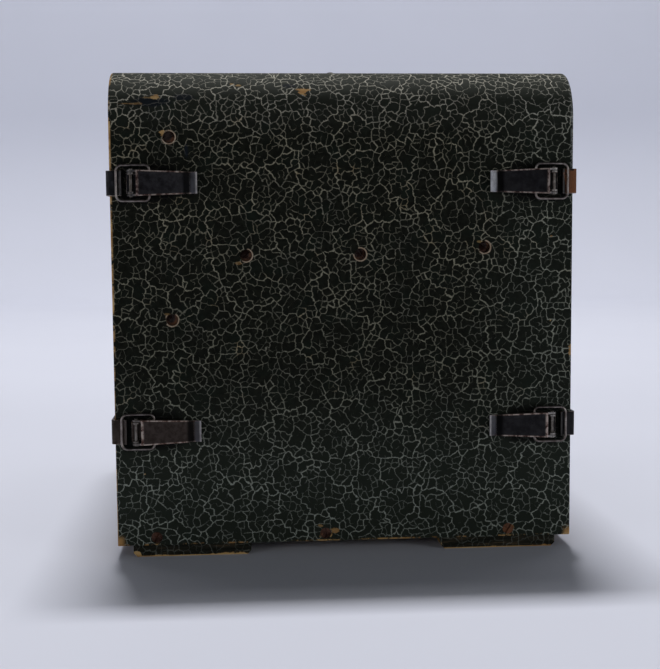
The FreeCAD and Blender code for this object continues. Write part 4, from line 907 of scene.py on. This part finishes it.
def words(text, size):
    """Coordinates and triangles of a line of figures, centred on the origin and lying in the XY plane."""
    curve = bpy.data.curves.new("figures", "FONT")
    curve.body = text
    curve.size = size
    curve.align_x = "CENTER"
    curve.align_y = "CENTER"
    curve.resolution_u = 3
    holder = bpy.data.objects.new("figures", curve)
    mesh = bpy.data.meshes.new_from_object(holder)
    mesh.calc_loop_triangles()
    points = np.zeros(len(mesh.vertices) * 3)
    mesh.vertices.foreach_get("co", points)
    faces = np.zeros(len(mesh.loop_triangles) * 3, int)
    mesh.loop_triangles.foreach_get("vertices", faces)
    bpy.data.objects.remove(holder)
    bpy.data.curves.remove(curve)
    bpy.data.meshes.remove(mesh)
    return points.reshape(-1, 3).T, faces.reshape(-1, 3)


def softened(node, width):
    """A copy of a latch node that takes its place, with its edges rounded. The rounds look worn."""
    mesh = NODES[node].data.copy()
    flat = math.radians(1)
    welded(mesh, lambda work: bmesh.ops.dissolve_limit(
        work, angle_limit=flat, verts=work.verts, edges=work.edges))
    thing = settle(node + "_soft", mesh, BODY_OF[node], SLOT_OF[node])
    mesh.materials.append(FINISHES["latch_worn_edge"])
    round_off = thing.modifiers.new("round", "BEVEL")
    round_off.width = width
    round_off.segments = 2
    round_off.limit_method = "ANGLE"
    round_off.angle_limit = math.radians(40)
    round_off.material = 1
    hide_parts(node)


# Small pieces that the solids leave to the looks

# Screws: width and height of the head, its dome, width and depth of the slot, length, shank
WOOD_SCREW = (0.0072, 0.0022, 0.00025, 0.0012, 0.0011, 0.0080, 0.0038)
STRAP_SCREW = (0.0056, 0.0014, 0.0010, 0.0009, 0.0008, 0.0030, 0.0024)
PANEL_SCREW = (0.0056, 0.0018, 0.0013, 0.0009, 0.0010, 0.0030, 0.0024)
SOCKET_SCREW = (0.0034, 0.0009, 0.0006, 0.0006, 0.0005, 0.0020, 0.0016)


def screwed(name, screw, spots, ways, spins, body, slot):
    """Screws at some spots as one piece, each facing its way and turned by its own spin."""
    turns = [facing(way, spin) for way, spin in zip(ways, spins)]
    return piece(name, copies(slotted_screw(*screw), spots, turns), body, slot)


def build_screws():
    """Slotted heads for all the wood screws, each turned its own way."""
    chance = np.random.default_rng(7)
    spots = []
    ways = []
    for side in (-1, 1):
        spots += [(x, side * (HALF_WIDTH - SINK), z) for x, z in DEEP_SCREWS]
        spots += [(x, side * HALF_WIDTH, z) for x, z in EDGE_SCREWS]
        ways += [(0, side, 0)] * len(DEEP_SCREWS + EDGE_SCREWS)
    skid_row, skid_level = 0.075, 0.0024
    bracket_row, bracket_place, bracket_level = 0.014, 0.059, 0.3202
    for end in (-1, 1):
        for row in (-1, 1):
            spots.append((end * SKID_PLACE, row * skid_row, skid_level))
            spots.append((row * bracket_row, end * bracket_place, bracket_level))
            ways += [(0, 0, -1), (0, 0, 1)]
    spins = chance.uniform(0, math.pi, len(spots))
    heads = screwed("slotted_screws", WOOD_SCREW, spots, ways, spins, "case", "screw_steel")
    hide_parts("wood_screws")


def build_strap_screws():
    """Two domed screws through each strap into its cover."""
    for end, cover in ((-1, "front_cover"), (1, "rear_cover")):
        spots = [(end * STRAP_SCREW_TOP, side * y, z)
                 for side in (-1, 1) for y in STRAP_SCREW_SIDES for z in LATCH_LEVELS]
        ways = [(end, 0, 0)] * len(spots)
        spins = 0.4 + 1.3 * np.arange(len(spots))
        screwed(cover + "_strap_screws", STRAP_SCREW, spots, ways, spins, cover, "screw_steel")


def build_base_rivets():
    """Two low rivets through each latch base."""
    profile = [(0, 0.0007), (0.0009, 0.0006), (0.0016, 0.0003), (0.0018, 0), (0.0018, -0.0004), (0, -0.0004)]
    spots = [(end * (HALF_DEPTH - inset), side * (HALF_WIDTH + BASE_THICK), level)
             for end in (-1, 1) for side in (-1, 1) for level in LATCH_LEVELS for inset in RIVET_INSETS]
    turns = [facing((0, math.copysign(1, spot[1]), 0)) for spot in spots]
    piece("latch_rivets", copies(lathe(profile, 16), spots, turns), "case", "latch_steel", "latch_worn_edge")


def build_panel_screws():
    """Round-headed screws along the panel's sides, and small ones on the sockets' flanges."""
    column, levels, flange, beside = 0.1565, (0.036, 0.108, 0.205, 0.278), 0.0033, 0.0168
    sides = [(PANEL_FACE - PANEL_SCREW[1], side * column, z) for side in (-1, 1) for z in levels]
    flanges = [(PANEL_FACE - flange, y + side * beside, SOCKET_LEVEL)
               for y in SOCKET_PLACES for side in (-1, 1)]
    for name, screw, spots, step, slot in (("panel_screws", PANEL_SCREW, sides, 0.7, "bush_nickel"),
                                           ("socket_screws", SOCKET_SCREW, flanges, 0.9, "contact_brass")):
        screwed(name, screw, spots, [(-1, 0, 0)] * len(spots), step * np.arange(len(spots)), "case", slot)


def figure(text, size, centre, out, angle=0, radius=0, turn=0):
    """A text on the front: turned, moved out along a radius at an angle from the top, and set about a centre.

    It is drawn with x to the right and y up as seen from the front, where the right is -Y and up is Z.
    """
    (x, y, z), faces = words(text, size)
    right = x * math.cos(turn) + y * math.sin(turn) + math.sin(angle) * radius
    up = y * math.cos(turn) - x * math.sin(turn) + math.cos(angle) * radius
    across, level = centre
    return np.stack((out - z, across - right, level + up), 1), faces


def tick(centre, angle, radius, long, width, lift):
    """A bar on the front that points away from a centre, at an angle from the top."""
    out = np.array((0, -math.sin(angle), math.cos(angle)))
    side = np.array((0, math.cos(angle), math.sin(angle)))
    start = np.array(centre) + out * radius
    return ribbon(np.stack((start, start + out * long)), side, width, INK, (-lift, 0, 0))


def build_dial():
    """The meter's scale: two arcs, ticks and plain figures round the needle's axis."""
    half_turn, radius, inner, ring, size, lift, count = 45, 0.0335, 0.0300, 0.0392, 0.0040, 0.00002, 61
    turn = np.radians(np.linspace(-half_turn, half_turn, count))
    side = np.stack((np.zeros(count), -np.sin(turn), np.cos(turn)), 1)
    shapes = [ribbon(np.array((DIAL_FACE, 0, NEEDLE_LEVEL)) + arc * side, side, width, INK, (-lift, 0, 0))
              for arc, width in ((radius, 0.00035), (inner, 0.0006))]
    for step in range(51):
        long = 0.0030 if step % 10 == 0 else 0.0021 if step % 5 == 0 else 0.0013
        width = 0.00045 if step % 10 == 0 else 0.00028
        angle = math.radians(-half_turn + 1.8 * step)
        shapes.append(tick((DIAL_FACE, 0, NEEDLE_LEVEL), angle, radius, long, width, lift))
    piece("dial_scale", joined(*shapes), "case", "needle_black", "dial_ink")
    angles = [math.radians(-half_turn + 18 * step) for step in range(6)]
    figures = [figure(str(20 * step), size, (0, NEEDLE_LEVEL), DIAL_FACE - INK, angle, ring, angle)
               for step, angle in enumerate(angles)]
    piece("dial_figures", joined(*figures), "case", "needle_black", "dial_ink")


# The lines on a knob's face and down its skirt: a path of x and height over the axis, and its lift
KNOB_LINES = ((((KNOB_FACE, 0.002), (KNOB_FACE, 0.0105)), (-0.00002, 0, 0)),
              (((-0.12775, 0.0187), (-0.1292, 0.0145)), (-0.0001, 0, 0.00004)))


def build_knob_marks():
    """A cream line on each knob, and a ring of ticks and plain figures round it on the panel."""
    line, size, ring = 0.0011, 0.0046, 0.0268
    tick_ring, tick_size, tick_lift = 0.0208, (0.0026, 0.0006), 0.00003
    angles = [math.radians(-150 + 30 * step) for step in range(11)]
    for knob, across in KNOB_PLACES.items():
        lines = [ribbon([(x, across, KNOB_LEVEL + rise) for x, rise in path], (0, 1, 0), line, PAINT, lift)
                 for path, lift in KNOB_LINES]
        piece(knob + "_pointer", joined(*lines), knob + "_selector", "dial_card", "mark_cream")
        ticks = [tick((PANEL_FACE, across, KNOB_LEVEL), angle, tick_ring, *tick_size, tick_lift)
                 for angle in angles]
        figures = [figure(str(step), size, (across, KNOB_LEVEL), PANEL_FACE - INK_LIFT, angle, ring)
                   for step, angle in enumerate(angles)]
        piece(knob + "_ticks", joined(*ticks), "case", "dial_card", "mark_cream")
        piece(knob + "_figures", joined(*figures), "case", "dial_card", "mark_cream")


def build_panel_words():
    """Plain numbers under the sockets, and ON and OFF above and below the toggle."""
    under, over, size, word_size = 0.0285, 0.0155, 0.0056, 0.0042
    marks = [(str(index + 1), size, (y, SOCKET_LEVEL - under)) for index, y in enumerate(SOCKET_PLACES[::-1])]
    marks += [("ON", word_size, (TOGGLE_PLACE, TOGGLE_LEVEL + over)),
              ("OFF", word_size, (TOGGLE_PLACE, TOGGLE_LEVEL - over))]
    shapes = [figure(*mark, PANEL_FACE - INK_LIFT) for mark in marks]
    piece("panel_figures", joined(*shapes), "case", "dial_card", "mark_cream")


def build_stitches():
    """The seam of the leather grip: a row of spindle stitches along the grip, on its radius."""
    low, high = (np.array(corner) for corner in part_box("handle_grip"))
    middle = (low + high) / 2
    reach = (high[2] - low[2]) / 2
    turn = math.radians(SEAM_TURN)
    end, thick, long = 0.0055, 0.00045, 0.0017
    spots = [(middle[0] + reach * math.cos(turn), along, middle[2] + reach * math.sin(turn))
             for along in np.linspace(low[1] + end, high[1] - end, 18)]
    stitch = lathe([(thick * math.sin(a), -long * math.cos(a)) for a in np.linspace(0, math.pi, 9)], 8)
    turns = [facing((0, 1, 0))] * len(spots)
    row = copies(stitch, spots, turns)
    piece("grip_stitches", row, BODY_OF["handle_grip"], "grip_leather", "seam_thread", crease=80)


def build_spring():
    """The button's spring, a copy of its node with its own mesh, that takes the node's place on its body."""
    mesh = NODES["button_spring"].data.copy()
    coil = settle("pressed_spring", mesh, BODY_OF["button_spring"], SLOT_OF["button_spring"])
    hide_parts("button_spring")
    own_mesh(coil)


def build_latch_finish():
    """Latch parts with rounded, rubbed edges."""
    for node in NODES:
        if node.endswith("_lever") and node != "toggle_lever":
            softened(node, LEVER_ROUND)
    for node in ("front_catches", "rear_catches", "latch_bases"):
        softened(node, PLATE_ROUND)


# The photograph's view and light


def stand(thing, turn, spot):
    """Put a thing at a spot, with its axes along the columns of a turn."""
    matrix = np.eye(4)
    matrix[:3, :3] = turn
    matrix[:3, 3] = spot
    thing.matrix_world = Matrix(matrix.tolist())


def place_camera():
    """The photograph's view: yaw to the right, pitch downwards, some roll, and a focal length in pixels."""
    yaw, pitch, roll = 0.073, 0.087, -0.008
    place = (-0.066879, -0.95607, 0.212488)
    sensor, focal_pixels, photo_width = 36, 1200, 660
    ahead = np.array((math.sin(yaw) * math.cos(pitch), math.cos(yaw) * math.cos(pitch), -math.sin(pitch)))
    lens = bpy.data.cameras.new("view")
    lens.sensor_fit = "HORIZONTAL"
    lens.sensor_width = sensor
    lens.lens = sensor * focal_pixels / photo_width
    lens.clip_end = 50
    camera = shown("view", lens)
    stand(camera, facing(-ahead, roll), place)
    bpy.context.scene.camera = camera


@finish(Roughness=0.9)
def sweep_paper(w, point):
    """Pale blue-grey paper with hardly any texture."""
    return {"Base Color": w.mix(w.noise(point, 3), (0.60, 0.62, 0.70), (0.63, 0.65, 0.73))}


def lay_sweep():
    """A flat floor, a quarter round and an upright wall all about, drawn out to the sides and the front."""
    reach, bend, height = 2.6, 0.6, 1.7
    side_stretch, front_stretch = 1.5, 2
    profile = [(0, 0), (reach / 2, 0)]
    profile += [(reach + bend * math.sin(a), bend - bend * math.cos(a))
                for a in np.linspace(0, math.pi / 2, 13)]
    profile += [(reach + bend, height)]
    points, faces = lathe(profile, 96)
    points[:, 0] *= side_stretch
    points[points[:, 1] < 0, 1] *= front_stretch
    mesh = mesh_of("sweep", (points, faces))
    mesh.shade_smooth()
    mesh.materials.append(FINISHES["sweep_paper"])
    sweep = shown("sweep", mesh)


# Soft lamps: place, target, size, watts, tint
LAMPS = {
    "overhead": ((0, 1.6, 4.8), (0, -1.6, 0), (1.2, 0.5), 230, (1, 0.99, 1)),
    "backdrop": ((0, 1, 4), (0, 3.2, 1.3), (3.5, 0.8), 35, (1, 0.99, 1)),
    "left_low": ((-3.2, -2.6, 1), (0, -0.18, 0.1), (1.6, 0.8), 18, (0.98, 1, 0.98)),
    "right_low": ((3.2, -2.6, 1), (0, -0.18, 0.1), (1.6, 0.8), 24, (0.98, 1, 0.98)),
}


def hang_lamps():
    """The lamps, each turned to its target, and a faint light from all about."""
    for name, (spot, target, size, power, tint) in LAMPS.items():
        light = bpy.data.lights.new(name, "AREA")
        light.shape = "RECTANGLE"
        light.size, light.size_y = size
        light.energy = power
        light.color = tint
        lamp = shown(name, light)
        back = np.array(spot, float) - np.array(target, float)
        stand(lamp, facing(back / np.linalg.norm(back)), spot)
        lamp.visible_camera = False
    world = bpy.data.worlds.new("room")
    world.use_nodes = True
    room = world.node_tree.nodes["Background"]
    room.inputs["Color"].default_value = (0.80, 0.83, 0.92, 1)
    room.inputs["Strength"].default_value = 0.02
    bpy.context.scene.world = world
    bpy.context.scene.view_settings.view_transform = "Standard"


build_screws()
build_strap_screws()
build_base_rivets()
build_panel_screws()
build_dial()
build_knob_marks()
build_panel_words()
build_stitches()
build_spring()
build_latch_finish()
place_camera()
lay_sweep()
hang_lamps()
